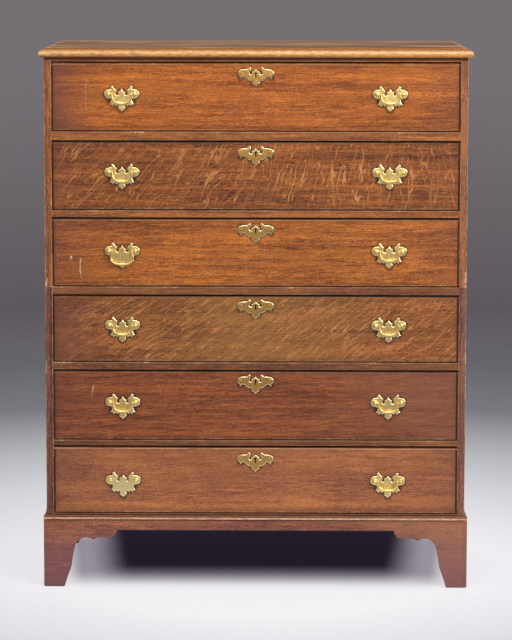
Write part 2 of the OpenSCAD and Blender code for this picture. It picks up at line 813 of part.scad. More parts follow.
module key_plate() {
    pin_z = 6;
    difference() {
        upright(-plate_t, 0) difference() {
            mirrored_outline(key_plate_half);
            keyhole();
        }
        both_sides() translate([plate_pin_x, 1, pin_z]) rotate([90, 0, 0])
            cylinder(r = plate_pin_r / 2 + hairline, h = plate_t + 2, $fn = 24);
    }
    both_sides() translate([plate_pin_x, -plate_t - hairline, pin_z]) {
        rotate([-90, 0, 0]) cylinder(r = plate_pin_r / 2, h = plate_t + hairline, $fn = 24);
        intersection() {
            sphere(plate_pin_r, $fn = 24);
            block([-2 * plate_pin_r, -2 * plate_pin_r, -2 * plate_pin_r],
                  [2 * plate_pin_r, 0, 2 * plate_pin_r]);
        }
    }
}

module drawer_brasses(n) {
    color(brass) at_face() {
        for (side = [-1, 1]) translate([side * handle_x, 0, post_z(n)]) {
            handle_plate();
            for (post = [-1, 1]) translate([post * post_spacing / 2, 0, 0]) {
                post(post);
                nut();
            }
        }
        translate([0, 0, key_z(n)]) key_plate();
    }
}

// The bail hangs in the XZ plane. The middle of its bar follows a superellipse, on which
// |x / half width| ^ square + |z / drop| ^ square = 1, and it swells to the grip. The wide
// bail's half width grows downwards, and its middle sags.
// A form is [spread, drop without the sag, sag, square].
plain_bail = [0, bail_drop - grip_r, 0, bail_square];
wide_bail = [wide_spread, wide_drop - wide_sag - grip_r, wide_sag, wide_square];
function bail_form(n, side) = n == 3 && side < 0 ? wide_bail : plain_bail;

// 1 at the middle of the bar and next to nothing at its arms.
function bail_swell(t) = pow(sin(t), 6);
function bail_middle(t, form) =
    let (power = 2 / form[3],
         half_w = bail_half_w + form[0] * sin(t))
    [half_w * sign(cos(t)) * pow(abs(cos(t)), power), 0,
     -form[1] * pow(sin(t), power) - form[2] * bail_swell(t)];
function bail_radius(t) = bail_r + (grip_r - bail_r) * bail_swell(t);

// Ring i of the bar, square to the way from the last ring to the next.
function bail_ring(i, form) =
    let (t = 180 * i / bail_rings,
         way = bail_middle(min(t + 1, 180), form) - bail_middle(max(t - 1, 0), form),
         out = [-way[2], 0, way[0]] / norm(way))
    [for (k = [0:bail_sides - 1])
        let (turn = 360 * k / bail_sides)
        bail_middle(t, form) + bail_radius(t) * (cos(turn) * out + sin(turn) * [0, 1, 0])];

module bail_bar(form) {
    last = bail_rings * bail_sides;
    polyhedron(
        points = [for (i = [0:bail_rings]) each bail_ring(i, form)],
        faces = concat(
            [[for (k = [bail_sides - 1:-1:0]) k]],
            [for (i = [0:bail_rings - 1], k = [0:bail_sides - 1])
                let (a = i * bail_sides + k, b = i * bail_sides + (k + 1) % bail_sides)
                each [[a, b, a + bail_sides], [b, b + bail_sides, a + bail_sides]]],
            [[for (k = [0:bail_sides - 1]) last + k]]));
}

module bail(n, side) {
    color(brass) at_face() translate([side * handle_x, -post_reach, post_z(n)]) union() {
        bail_bar(bail_form(n, side));
        both_sides() {
            translate([bail_half_w, 0, 0]) sphere(knuckle_r, $fn = 24);
            rotate([0, 90, 0]) translate([0, 0, bail_half_w])
                cylinder(r = pintle_r, h = post_spacing / 2 + pintle_past - bail_half_w);
        }
    }
}

top_board();
upper_left_side();
upper_right_side();
upper_bottom_board();
upper_rails();
upper_backboards();
upper_runners();
lower_left_side();
lower_right_side();
lower_top_board();
lower_bottom_board();
lower_rails();
lower_backboards();
lower_runners();
base_front_board();
base_left_board();
base_right_board();
base_moulding();
foot_blocks();
drawer_front(1);  // drawer_1_front
drawer_box(1);  // drawer_1_box
drawer_brasses(1);  // drawer_1_brasses
drawer_lock(1);  // drawer_1_lock
drawer_bolt(1);  // drawer_1_bolt
bail(1, -1);  // drawer_1_left_bail
bail(1, 1);  // drawer_1_right_bail
drawer_front(2);  // drawer_2_front
drawer_box(2);  // drawer_2_box
drawer_brasses(2);  // drawer_2_brasses
drawer_lock(2);  // drawer_2_lock
drawer_bolt(2);  // drawer_2_bolt
bail(2, -1);  // drawer_2_left_bail
bail(2, 1);  // drawer_2_right_bail
drawer_front(3);  // drawer_3_front
drawer_box(3);  // drawer_3_box
drawer_brasses(3);  // drawer_3_brasses
drawer_lock(3);  // drawer_3_lock
drawer_bolt(3);  // drawer_3_bolt
bail(3, -1);  // drawer_3_left_bail
bail(3, 1);  // drawer_3_right_bail
drawer_front(4);  // drawer_4_front
drawer_box(4);  // drawer_4_box
drawer_brasses(4);  // drawer_4_brasses
drawer_lock(4);  // drawer_4_lock
drawer_bolt(4);  // drawer_4_bolt
bail(4, -1);  // drawer_4_left_bail
bail(4, 1);  // drawer_4_right_bail
drawer_front(5);  // drawer_5_front
drawer_box(5);  // drawer_5_box
drawer_brasses(5);  // drawer_5_brasses
drawer_lock(5);  // drawer_5_lock
drawer_bolt(5);  // drawer_5_bolt
bail(5, -1);  // drawer_5_left_bail
bail(5, 1);  // drawer_5_right_bail
drawer_front(6);  // drawer_6_front
drawer_box(6);  // drawer_6_box
drawer_brasses(6);  // drawer_6_brasses
drawer_lock(6);  // drawer_6_lock
drawer_bolt(6);  // drawer_6_bolt
bail(6, 1);  // drawer_6_right_bail
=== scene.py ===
"""Looks of an old oak chest-on-chest: waxed oak boards with worn arrises, cast brass bat-wing
handles and iron locks, on a pale studio floor. Metres, +Z up, the drawer fronts face -Y."""

import functools
import json
import math

import bpy
import numpy as np
from bpy.props import FloatProperty, FloatVectorProperty, PointerProperty
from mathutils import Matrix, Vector, geometry

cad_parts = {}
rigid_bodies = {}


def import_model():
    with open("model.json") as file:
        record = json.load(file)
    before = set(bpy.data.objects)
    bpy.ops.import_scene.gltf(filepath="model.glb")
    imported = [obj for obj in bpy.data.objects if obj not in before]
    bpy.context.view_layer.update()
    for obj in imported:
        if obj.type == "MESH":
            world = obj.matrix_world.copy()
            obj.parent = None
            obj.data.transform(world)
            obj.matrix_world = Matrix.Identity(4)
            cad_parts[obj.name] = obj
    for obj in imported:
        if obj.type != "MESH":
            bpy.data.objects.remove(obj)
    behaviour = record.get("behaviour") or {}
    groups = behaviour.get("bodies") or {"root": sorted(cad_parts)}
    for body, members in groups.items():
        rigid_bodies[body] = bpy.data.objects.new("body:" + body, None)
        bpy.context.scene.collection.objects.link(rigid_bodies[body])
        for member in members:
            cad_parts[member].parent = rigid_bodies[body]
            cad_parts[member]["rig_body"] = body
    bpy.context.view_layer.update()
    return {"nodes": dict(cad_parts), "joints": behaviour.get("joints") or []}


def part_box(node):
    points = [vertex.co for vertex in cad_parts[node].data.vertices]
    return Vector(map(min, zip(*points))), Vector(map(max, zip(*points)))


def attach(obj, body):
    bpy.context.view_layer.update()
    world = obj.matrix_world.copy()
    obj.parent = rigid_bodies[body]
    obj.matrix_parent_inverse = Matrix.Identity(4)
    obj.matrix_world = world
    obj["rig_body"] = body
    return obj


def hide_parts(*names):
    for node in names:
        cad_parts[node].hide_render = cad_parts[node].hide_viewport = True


bl_info = {
    "name": "Oak chest-on-chest",
    "version": (1, 0, 0),
    "blender": (4, 5, 0),
    "location": "View3D > Sidebar > Chest",
    "description": "Waxed oak, worn arrises, brass handles and iron locks for a chest-on-chest",
    "category": "Object",
}

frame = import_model()
MM = 0.001
DRAWERS = range(1, 7)
# How far the middle of a handle is from the middle of its drawer.
HANDLE_X = next(joint["pos_m"][0] for joint in frame["joints"]
                if joint["name"] == "drawer_1_right_bail_swing")
CASE_HALF_W = -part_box("upper_left_side")[0].x
FRONT_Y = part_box("upper_left_side")[0].y
# How far the middle of each keyhole is under the top of its drawer front, in millimetres, and
# where the right pin of its plate is.
KEY_DROP = {1: 28, 2: 29, 3: 29, 4: 27, 5: 27, 6: 32}
PIN_X, PIN_Z = 34.9, 6
# Discs that cover a handle plate (counted from the middle of its posts) and a keyhole plate,
# as x, z and radius in millimetres. Each stands for its mirror image too.
HANDLE_DISCS = ((31, 0, 11.5), (23, 13, 5), (18, -15, 14), (0, -18, 17), (0, -35, 8), (0, 5, 8))
KEY_DISCS = ((30, 4, 11), (12, -2, 12), (0, -12, 13), (37, -6, 5))


def linear(code):
    """sRGB hex to linear light: c / 12.92 below 0.04045, else ((c + 0.055) / 1.055) ^ 2.4."""
    c = np.array([int(code[i : i + 2], 16) for i in (1, 3, 5)]) / 255
    return tuple(np.where(c < 0.04045, c / 12.92, ((c + 0.055) / 1.055) ** 2.4).tolist())


def length(name, text, mm):
    """A size property whose default is given in millimetres."""
    return FloatProperty(name=name, description=text, default=mm * MM, unit="LENGTH")


def colour(name, text, code):
    """A colour property whose default is given as sRGB hex."""
    return FloatVectorProperty(
        name=name, description=text, subtype="COLOR", size=3, min=0, max=1, default=linear(code)
    )


class ChestSizes(bpy.types.PropertyGroup):
    """Sizes of what is worked over the solids."""

    arris: length("Arris", "Worn round on the edges of the case boards", 1.0)
    fine_arris: length("Fine arris", "Worn round on rails, drawer fronts and mouldings", 0.6)
    foot_arris: length("Foot arris", "Worn round on the edges of the base boards", 1.5)
    iron_arris: length("Iron arris", "Filed edge of the locks and bolts", 0.4)
    plate_t: length("Plate", "Thickness of the brass plates", 1.6)
    rim_w: length("Rim", "Width of the filed bevel round the brass plates", 2.2)
    rim_t: length("Rim edge", "Thickness of the plates at their outline", 0.4)
    ball_r: length("Ball", "Radius of the ball heads of the posts", 4.2)
    collar_r: length("Collar", "Radius of the collars of the posts", 5.2)
    post_reach: length("Reach", "Distance from the drawer face to the balls", 12.5)
    post_spacing: length("Boring", "Distance between the posts of a handle", 63.5)
    bail_half_w: length("Bail", "Half the distance between the arms of a bail", 23)
    bail_r: length("Bail bar", "Radius of the bar of a bail", 2.2)
    grip_r: length("Grip", "Radius of the bail's grip", 2.8)


class ChestColours(bpy.types.PropertyGroup):
    """Colours of the finishes."""

    drawer_1: colour("Drawer 1", "Warm orange brown oak", "#9f5626")
    drawer_2: colour("Drawer 2", "Quarter-sawn oak", "#814826")
    drawer_3: colour("Drawer 3", "Golden brown oak", "#985426")
    drawer_4: colour("Drawer 4", "Olive brown oak", "#804928")
    drawer_5: colour("Drawer 5", "Dark red brown oak", "#7a4028")
    drawer_6: colour("Drawer 6", "Light brown oak", "#965a40")
    upper: colour("Upper case", "Oak of the upper case", "#9b5b36")
    # The right side of the upper case has a duller tone than the rest of the upper case.
    upper_right: colour("Upper right side", "Side that the light has dulled", "#8e553b")
    lower: colour("Lower case", "Oak of the lower case", "#7a4b43")
    # The left side of the lower case has a darker tone than the rest of the lower case.
    lower_left: colour("Lower left side", "Side that has stayed dark", "#74443d")
    lower_rails: colour("Lower rails", "Red brown oak", "#7a4932")
    base: colour("Base", "Dark purple brown oak of the base", "#8a5346")
    foot: colour("Feet", "Plum tone towards the floor", "#7d525e")
    top: colour("Top", "Bleached oak of the top", "#6e4a34")
    stain: colour("Stains", "Dark stains on the top", "#3f2c25")
    # The nose's gold is rubbed wood and partly a painted highlight.
    nose: colour("Nose", "Edge of the top, rubbed golden", "#d9a25a")
    # Also the tone of the painted highlights on the nose and the fillet.
    rubbed: colour("Rubbed", "Bare wood where the arrises are rubbed through", "#dfb288")
    fleck: colour("Fleck", "Silver grain of quarter-sawn oak", "#c5834a")
    # Ends: a darker tone over the last 120 mm of each end of a board.
    end: colour("Ends", "Darker wax towards the ends of the boards", "#6e4038")
    inside: colour("Inside", "Unfinished oak", "#a67a54")
    brass: colour("Brass", "Cast brass", "#ffe394")
    polished: colour("Polished brass", "Rubbed rims of the brasses", "#fff0bd")
    tarnish: colour("Tarnish", "Tarnish on the flats", "#c08d48")
    iron: colour("Iron", "Forged iron", "#3a3633")
    rust: colour("Rust", "Rust bloom on the iron", "#5b3a26")
    floor: colour("Floor", "Pale studio floor", "#faf8ff")
    backdrop: colour("Backdrop", "Grey of the far backdrop", "#716b6e")


# Materials


def add(tree, kind, inputs=None, **settings):
    """Adds a node. inputs maps a socket's name or number to a value, a socket or a node, and
    settings are the node's own properties. A colour needs no alpha."""
    node = tree.nodes.new("ShaderNode" + kind)
    for key, value in settings.items():
        setattr(node, key, value)
    for key, value in (inputs or {}).items():
        if isinstance(value, bpy.types.Node):
            value = next(out for out in value.outputs if out.enabled)
        socket = node.inputs[key]
        if isinstance(value, bpy.types.NodeSocket):
            tree.links.new(value, socket)
        elif socket.type == "RGBA":
            socket.default_value = tuple(value)[:3] + (1,)
        else:
            socket.default_value = value
    return node


def start(name):
    """An empty material, and the tree it is drawn in."""
    material = bpy.data.materials.new(name)
    material.use_nodes = True
    tree = material.node_tree
    tree.nodes.clear()
    return material, tree


def finish(tree, shader):
    """Ends a material with its shader."""
    add(tree, "OutputMaterial", {"Surface": shader})


def shades(tree, value, *tones):
    """Colours between tones, as (position, colour), in rising order of the position."""
    ramp = add(tree, "ValToRGB", {"Fac": value})
    stops = ramp.color_ramp.elements
    for stop, (place, tone) in zip((stops[0], stops[1]), (tones[0], tones[-1])):
        stop.position, stop.color = place, tuple(tone) + (1,)
    for place, tone in tones[1:-1]:
        stops.new(place).color = tuple(tone) + (1,)
    return ramp


def tint(c, gain, warm=0.0):
    """A colour made lighter or darker by gain, and warmer by raising red over blue."""
    r, g, b = c
    return tuple(min(1, v) for v in (r * gain * (1 + warm), g * gain, b * gain * (1 - warm)))


def shifted(node, coordinate, place):
    """The coordinate counted from a place, split in x, y and z."""
    moved = node("VectorMath", {0: coordinate, 1: tuple(place)}, operation="SUBTRACT")
    return moved, node("SeparateXYZ", {0: moved}).outputs


def faded(node, value, full, none, strength=1.0, least=0.0):
    """Strength where the value is full, going evenly to least where it is none."""
    return node("MapRange", {0: value, 1: full, 2: none, 3: strength, 4: least})


def times(node, *factors):
    """The product of the factors."""
    product = factors[0]
    for factor in factors[1:]:
        product = node("Math", {0: product, 1: factor}, operation="MULTIPLY")
    return product


def apart(node, value, centre=0.0):
    """How far the value is from the centre."""
    gap = node("Math", {0: value, 1: centre}, operation="SUBTRACT")
    return node("Math", {0: gap}, operation="ABSOLUTE")


def drawn(node, at, cells, detail, rough=0.5):
    """Noise drawn out to so many cells to the metre along x, y and z."""
    spot = node("Mapping", {"Vector": at, "Scale": cells})
    return node("TexNoise", {"Vector": spot, "Scale": 1, "Detail": detail, "Roughness": rough})


class Oak:
    """Old oak as it is built up, each layer laid over the colour so far. `place` holds each
    board's own coordinates in metres, with the grain along x, and `low` and `high` hold the
    distances to the board's own box."""

    def __init__(self, name, base, middle, bare, fine):
        self.material, self.tree = start(name)
        self.node = node = functools.partial(add, self.tree)
        self.colours = bpy.context.scene.chest_colours
        self.tone, self.pale = tuple(base), tuple(self.colours.rubbed)
        lift = (1.3, 1.25, 1.1) if bare else (1.22, 1.32, 0.8)
        self.golden = tuple(min(1, v * k) for v, k in zip(self.tone, lift))
        self.bare = bare

        self.at, self.xyz = shifted(node, node("TexCoord").outputs["Object"], middle)
        self.place, self.low, self.high = [
            node("Attribute", attribute_name=key).outputs["Vector"]
            for key in ("place", "edge_low", "edge_high")]
        place = self.place
        near = node("VectorMath", {0: self.low, 1: self.high}, operation="MINIMUM")
        self.dx, dy, dz = node("SeparateXYZ", {0: near}).outputs
        # The middle one of the three distances is the distance to the nearest arris.
        self.inward = node("Math", {0: self.dx, 1: dy}, operation="MINIMUM")
        most = node("Math", {0: self.dx, 1: dy}, operation="MAXIMUM")
        most = node("Math", {0: most, 1: dz}, operation="MINIMUM")
        self.arris = node("Math", {0: self.inward, 1: most}, operation="MAXIMUM")

        # Streaks 2 mm wide and 50 mm long, dashes 3 mm wide and 12 mm long, specks 3 mm wide,
        # yearly bands about 12 mm apart, broad patches of wax and smaller clouds.
        self.streak = drawn(node, place, (20, 520, 520), 3, 0.7)
        self.dash = drawn(node, place, (80, 370, 370), 3, 0.6)
        speck = drawn(node, place, (210, 360, 360), 2, 0.6)
        swayed = drawn(node, place, (3, 14, 14), 2)
        bent = node("MixRGB", {0: 0.035, 1: place, 2: swayed}, blend_type="ADD")
        band = drawn(node, bent, (0.8, 85, 85), 1.5)
        self.broad = drawn(node, place, (4 * fine, 14 * fine, 14 * fine), 3, 0.55)
        self.cloud = drawn(node, place, (6 * fine, 26 * fine, 26 * fine), 3, 0.6)
        self.mixed = times(node, self.streak, 0.3)
        for part, share in ((self.dash, 0.2), (speck, 0.2), (band, 0.16), (self.broad, 0.14)):
            self.mixed = node("Math", {0: part, 1: share, 2: self.mixed},
                              operation="MULTIPLY_ADD")

        # Chips 5 mm long, and wear that comes and goes along an arris.
        self.chipped = node("TexNoise", {"Vector": self.at, "Scale": 130, "Detail": 3,
                                         "Roughness": 0.75})
        self.worn_run = node("TexNoise", {"Vector": self.at, "Scale": 16, "Detail": 3,
                                          "Roughness": 0.6})

    def over(self, share, tone):
        """Lays a tone over the wood by its share."""
        self.colour = self.node("MixRGB", {0: share, 1: self.colour, 2: tone})

    def near_front(self, full, none):
        """1 up to so many millimetres behind the front of the case, fading to 0 at none."""
        return faded(self.node, self.xyz[1], FRONT_Y + full * MM, FRONT_Y + none * MM)

    def grain(self, contrast, glow, plum):
        """The grain from dark to light lines, with golden and plum clouds of wax over it."""
        self.colour = shades(
            self.tree, self.mixed, (0.43, tint(self.tone, 1 - 1.2 * contrast, 0.15)),
            (0.495, self.tone), (0.57, tint(self.golden, 1 + 1.4 * contrast)))
        self.over(faded(self.node, self.cloud, 0.6, 0.48, glow), self.golden)
        self.over(faded(self.node, self.cloud, 0.34, 0.46, plum), tint(self.tone, 0.65, -0.12))

    def stains(self, tone):
        """Dark stains that follow the grain, and bleached wood between them."""
        node = self.node
        self.over(times(node, faded(node, self.cloud, 0.4, 0.6, 0.75),
                        faded(node, self.mixed, 0.42, 0.57, 1, 0.5)), tone)
        self.over(faded(node, self.cloud, 0.68, 0.53, 0.4), self.pale)

    def patch(self, tone, left, right):
        """A patch of another tone from left to right, streaked like the rest."""
        node = self.node
        x = node("Math", {0: self.broad, 1: 0.5, 2: self.xyz[0]}, operation="MULTIPLY_ADD")
        self.over(times(node, faded(node, x, left + 0.39, left + 0.11),
                        faded(node, x, right + 0.11, right + 0.39),
                        faded(node, self.mixed, 0.6, 0.4, 0.9, 0.3)), tone)

    def silver_grain(self, left, right, pitch, run, amount, sway, lines=0):
        """Silver grain: noise drawn out along a slope that turns from left to right. The noise
        is read at u = (x - z turn(x) + sway warp) / pitch and v = z / run. Ribbons lie where it
        is high, and lines, if any, along its middle value at lines times the pitch."""
        node, (x, _, z) = self.node, self.xyz
        lean = times(node, z, faded(node, x, -0.45, 0.45, left, right))
        u = node("Math", {0: x, 1: lean}, operation="SUBTRACT")
        warp = node("TexNoise", {"Vector": self.at, "Scale": 10, "Detail": 3, "Roughness": 0.6})
        u = node("Math", {0: warp, 1: sway, 2: u}, operation="MULTIPLY_ADD")
        spot = node("CombineXYZ", {0: times(node, u, 1 / pitch), 1: times(node, z, 1 / run)})
        ribbon = node("TexNoise", {"Vector": spot, "Scale": 1, "Detail": 1.5, "Roughness": 0.4})
        ribbon = times(node, faded(node, ribbon, 0.66, 0.53, amount),
                       faded(node, self.streak, 0.55, 0.3, 1, 0.4))
        if lines:
            spot = node("CombineXYZ", {0: times(node, u, 1 / (lines * pitch)),
                                       1: times(node, z, 0.7 / run), 2: 7})
            line = node("TexNoise", {"Vector": spot, "Scale": 1, "Detail": 1, "Roughness": 0.4})
            line = times(node, faded(node, apart(node, line, 0.5), 0.006, 0.018),
                         faded(node, warp, 0.5, 0.36, 1, 0.4))
            ribbon = node("Math", {0: ribbon, 1: line}, operation="MAXIMUM")
        self.over(ribbon, self.colours.fleck)

    def dark_ends(self, left, right):
        """A darker tone in the last 120 mm of each end, by its own share."""
        node = self.node
        reach = node("Math", {0: self.broad, 1: 0.12, 2: self.dx}, operation="MULTIPLY_ADD")
        self.over(times(node, faded(node, reach, 0.05, 0.2),
                        faded(node, self.xyz[0], -0.2, 0.2, left, right)), self.colours.end)

    def pores(self):
        """Open pores, dark dashes 0.8 mm wide and 9 mm long, and a darker tone within 14 mm of the
        arrises.
        """
        node = self.node
        self.pore = faded(node, drawn(node, self.place, (110, 1250, 1250), 1), 0.7, 0.58, 0.65)
        self.over(self.pore, tint(self.tone, 0.35))
        self.over(faded(node, self.arris, 0, 0.014, 0.35), tint(self.tone, 0.4))

    def brass_shade(self, posts_z, key_z):
        """Old polish and shade round the brasses: the distance to a few discs that stand for
        the plates, mirrored about the middle of the drawer and of each handle."""
        node = self.node
        side = apart(node, self.xyz[0])
        nearest = None
        for across, middle_z, discs in ((apart(node, side, HANDLE_X), posts_z, HANDLE_DISCS),
                                        (side, key_z, KEY_DISCS)):
            spot = node("CombineXYZ", {0: across, 2: self.xyz[2]})
            for disc_x, disc_z, disc_r in discs:
                place = (disc_x * MM, 0, middle_z + (disc_z - 1) * MM)
                gap = node("VectorMath", {0: spot, 1: place}, operation="DISTANCE")
                gap = node("Math", {0: gap.outputs["Value"], 1: disc_r * MM},
                           operation="SUBTRACT")
                nearest = gap if nearest is None else node(
                    "Math", {0: nearest, 1: gap}, operation="MINIMUM")
        self.over(faded(node, nearest, 0, 0.0055, 0.75), tint(self.tone, 0.12))

    def plum_near_floor(self, tone):
        """A plum tone towards the floor: at 0.6 up to 60 mm above it, gone at 150 mm."""
        self.over(faded(self.node, self.xyz[2], 0.06, 0.15, 0.6), tone)

    def rub(self, rubbed, rub_w):
        """Rubbed arrises, broken up along their length."""
        node = self.node
        width = faded(node, self.chipped, 0.35, 0.75, 0.2 * rub_w * MM, 2.2 * rub_w * MM)
        rub = faded(node, node("Math", {0: self.arris, 1: width}, operation="DIVIDE"), 0.3, 1.2)
        self.rubbed = times(node, rub, faded(node, self.worn_run, 0.7 - 0.2 * rubbed,
                                             0.6 - 0.3 * rubbed, rubbed, 0.12))
        self.over(self.rubbed, self.pale)

    def rail_wear(self, share):
        """Rubbed light and chipped along the upper arris, where the drawers run in and out."""
        node = self.node
        top = node("SeparateXYZ", {0: self.high}).outputs[2]
        self.over(times(node, faded(node, top, 0.0018, 0.0032),
                        faded(node, self.worn_run, 0.6, 0.38, share, 0.3 * share)),
                  tint(self.pale, 0.8, 0.15))
        self.over(times(node, faded(node, self.worn_run, 0.64, 0.59, 0.9),
                        faded(node, top, 0.0028, 0.004), faded(node, self.chipped, 0.56, 0.48)),
                  tint(self.pale, 1.05, 0.1))

    def beads(self, half_w, half_h, lower, upper, gap):
        """Wear along the lower and upper beads, and painted shade in the gaps round them."""
        node, (x, _, z) = self.node, self.xyz
        self.over(times(node, faded(node, z, 0.0035 - half_h, 0.0045 - half_h, lower),
                        faded(node, self.worn_run, 0.6, 0.4, 1, 0.3)), tint(self.tone, 1.7, -0.2))
        # Painted shade along the gap under the drawer and in the gaps at its ends.
        self.over(faded(node, z, 0.0012 - half_h, 0.0024 - half_h, 0.8), tint(self.tone, 0.12, 0.4))
        self.over(faded(node, apart(node, x), half_w - 0.0028, half_w - 0.0046, 0.9),
                  tint(self.tone, 0.1, 0.4))
        self.over(times(node, faded(node, apart(node, z, half_h - 0.0036), 0.0006, 0.0016, upper),
                        faded(node, self.worn_run, 0.5, 0.35, 1, 0.4)), self.pale)
        # Painted shade in the gap over the drawer.
        self.over(faded(node, z, half_h - 0.0008, half_h - 0.0028, gap), tint(self.tone, 0.07, 0.6))

    def gap(self, full, none):
        """A gap along the front that the light doesn't reach."""
        node = self.node
        self.over(times(node, faded(node, self.xyz[2], full, none, 0.9),
                        faded(node, apart(node, self.xyz[0]), CASE_HALF_W - 0.0015, CASE_HALF_W),
                        self.near_front(27, 57)), tint(self.tone, 0.1, 0.4))

    def gilded(self, distance, reach):
        """Share of golden wood within reach of an edge, a little uneven, and of its streaks."""
        node = self.node
        out = node("Math", {0: self.broad, 1: reach / 2, 2: distance}, operation="MULTIPLY_ADD")
        return faded(node, out, reach, 1.4 * reach), faded(node, self.dash, 0.55, 0.4, 1, 0.5)

    def fillet(self, tone, reach):
        """Golden along the fillet at the foot of a moulding, where cloths have rubbed it, and
        partly a painted highlight where the light falls on it from above.
        """
        edge, streaks = self.gilded(self.node("SeparateXYZ", {0: self.low}).outputs[2], reach)
        self.over(times(self.node, edge, streaks), tone)

    def nose(self, tone, reach):
        """Golden round the moulded edge of the top, where hands have rubbed it and as a painted
        highlight where the round catches the light, brown over and under that, and a painted
        highlight in cream on its most prominent line."""
        node = self.node
        edge, streaks = self.gilded(self.inward, reach)
        rise = node("SeparateXYZ", {0: self.low}).outputs[2]
        rise = node("Math", {0: self.chipped, 1: 0.006, 2: rise}, operation="MULTIPLY_ADD")
        self.over(faded(node, rise, 0.0045, 0.0085, 0.8), self.colours.upper)
        # The gold is rubbed wood and partly a painted highlight.
        golden = times(node, edge, faded(node, rise, 0.0095, 0.0045, 1, 0.15), streaks)
        self.over(golden, tone)
        self.over(times(node, edge, faded(node, rise, 0.02, 0.0175, 0.6)), self.colours.upper)
        # Painted highlight in cream on the most prominent line.
        cream = faded(node, apart(node, rise, 0.015), 0.0015, 0.004, 0.8)
        self.over(times(node, cream, golden), tint(self.pale, 1.32))

    def dings(self, marks):
        """Small dings, one in every 90 mm or so, and scratches and chips on the front face,
        along arcs about (x, z)."""
        node, (x, _, z) = self.node, self.xyz
        cell = node("TexVoronoi", {"Vector": self.at, "Scale": 13, "Randomness": 1})
        chance = node("SeparateColor", {0: cell.outputs["Color"]}).outputs[0]
        chance = node("Math", {0: chance, 1: 0.55}, operation="GREATER_THAN")
        ding = times(node, faded(node, cell.outputs["Distance"], 0.015, 0.028, 0.85), chance)
        for arc_x, arc_z, arc_r, z0, z1, thick, strength in marks:
            spot = node("CombineXYZ", {0: x, 2: z})
            gap = node("VectorMath", {0: spot, 1: (arc_x, 0, arc_z)}, operation="DISTANCE")
            gap = apart(node, gap.outputs["Value"], arc_r)
            span = apart(node, z, (z0 + z1) / 2)
            line = times(node, faded(node, gap, 0.2 * thick * MM, thick * MM, strength),
                         faded(node, span, 0.3 * (z1 - z0), 0.5 * (z1 - z0)),
                         node("Math", {0: x, 1: arc_x}, operation="LESS_THAN"), self.dash,
                         faded(node, self.chipped, 0.56, 0.44), self.near_front(2.7, 8.7))
            ding = node("Math", {0: ding, 1: line}, operation="MAXIMUM")
        self.ding = ding
        self.over(ding, self.pale)

    def finished(self, wax):
        """Waxed wood is satin, rubbed and unfinished wood is dull."""
        node = self.node
        gloss = (0.62, 0.8) if self.bare else (0.44, 0.62)
        rough = faded(node, self.mixed, 0.4, 0.6, *gloss)
        rough = node("Math", {0: self.rubbed, 1: 0.2, 2: rough}, operation="MULTIPLY_ADD")
        height = node("Math", {0: self.pore, 1: -0.8, 2: self.streak}, operation="MULTIPLY_ADD")
        height = node("Math", {0: self.ding, 1: -1.0, 2: height}, operation="MULTIPLY_ADD")
        bump = node("Bump", {"Height": height, "Strength": 0.5, "Distance": 0.2 * MM})
        finish(self.tree, node("BsdfPrincipled", {
            "Base Color": self.colour, "Roughness": rough, "Normal": bump,
            "Specular IOR Level": wax}))
        return self.material


def oak(name, base, contrast=0.5, rubbed=0.6, rub_w=1.4, ends=None, glow=0.5, plum=0.45,
        fine=1.0, wax=0.25, fleck=None, marks=(), bare=False, patch=None, fillet=None,
        nose=None, middle=(0, 0, 0), shade=None, beads=None, foot=None, gaps=(), stain=None,
        rail=0):
    """Old oak, planed by hand, stained and waxed many times, so it is satin with the grain just
    felt: fine streaks along the board, soft yearly bands across it, dark open pores, golden and
    plum patches of wax, and arrises rubbed through to pale bare wood."""
    wood = Oak(name, base, middle, bare, fine)
    wood.grain(contrast, glow, plum)
    if stain:
        wood.stains(stain)
    if patch:
        wood.patch(*patch)
    if fleck:
        wood.silver_grain(*fleck)
    if ends:
        wood.dark_ends(*ends)
    wood.pores()
    if shade:
        wood.brass_shade(*shade)
    if foot:
        wood.plum_near_floor(foot)
    wood.rub(rubbed, rub_w)
    if rail:
        wood.rail_wear(rail)
    if beads:
        wood.beads(*beads)
    for gap in gaps:
        wood.gap(*gap)
    if fillet:
        wood.fillet(*fillet)
    if nose:
        wood.nose(*nose)
    wood.dings(marks)
    return wood.finished(wax)


def cast_brass(name, least, most, rim=False):
    """Cast brass, filed and burnished by hand: yellow with an olive tarnish in the flats, and
    bright where it is rubbed. The tarnish covers it by a share from least to most. `rim` is 1 on
    the filed bevels."""
    colours = bpy.context.scene.chest_colours
    material, tree = start(name)
    node = functools.partial(add, tree)
    at = node("TexCoord").outputs["Object"]
    # Tarnish in patches 10 mm across, with file marks 0.5 mm apart.
    cloud = node("TexNoise", {"Vector": at, "Scale": 100, "Detail": 4, "Roughness": 0.6})
    dull = faded(node, cloud, 0.62, 0.4, most, least)
    metal = node("MixRGB", {0: dull, 1: colours.brass, 2: colours.tarnish})
    filed = node("TexNoise", {"Vector": at, "Scale": 1800, "Detail": 2})
    rough = faded(node, cloud, 0.3, 0.7, 0.24, 0.46)
    if rim:
        bevel = node("Attribute", attribute_name="rim").outputs["Fac"]
        metal = node("MixRGB", {0: bevel, 1: metal, 2: colours.polished})
        rough = node("Math", {0: bevel, 1: -0.1, 2: rough}, operation="MULTIPLY_ADD")
    bump = node("Bump", {"Height": filed, "Strength": 0.25, "Distance": 0.05 * MM})
    finish(tree, node("BsdfPrincipled", {
        "Base Color": metal, "Metallic": 1, "Roughness": rough, "Normal": bump}))
    return material


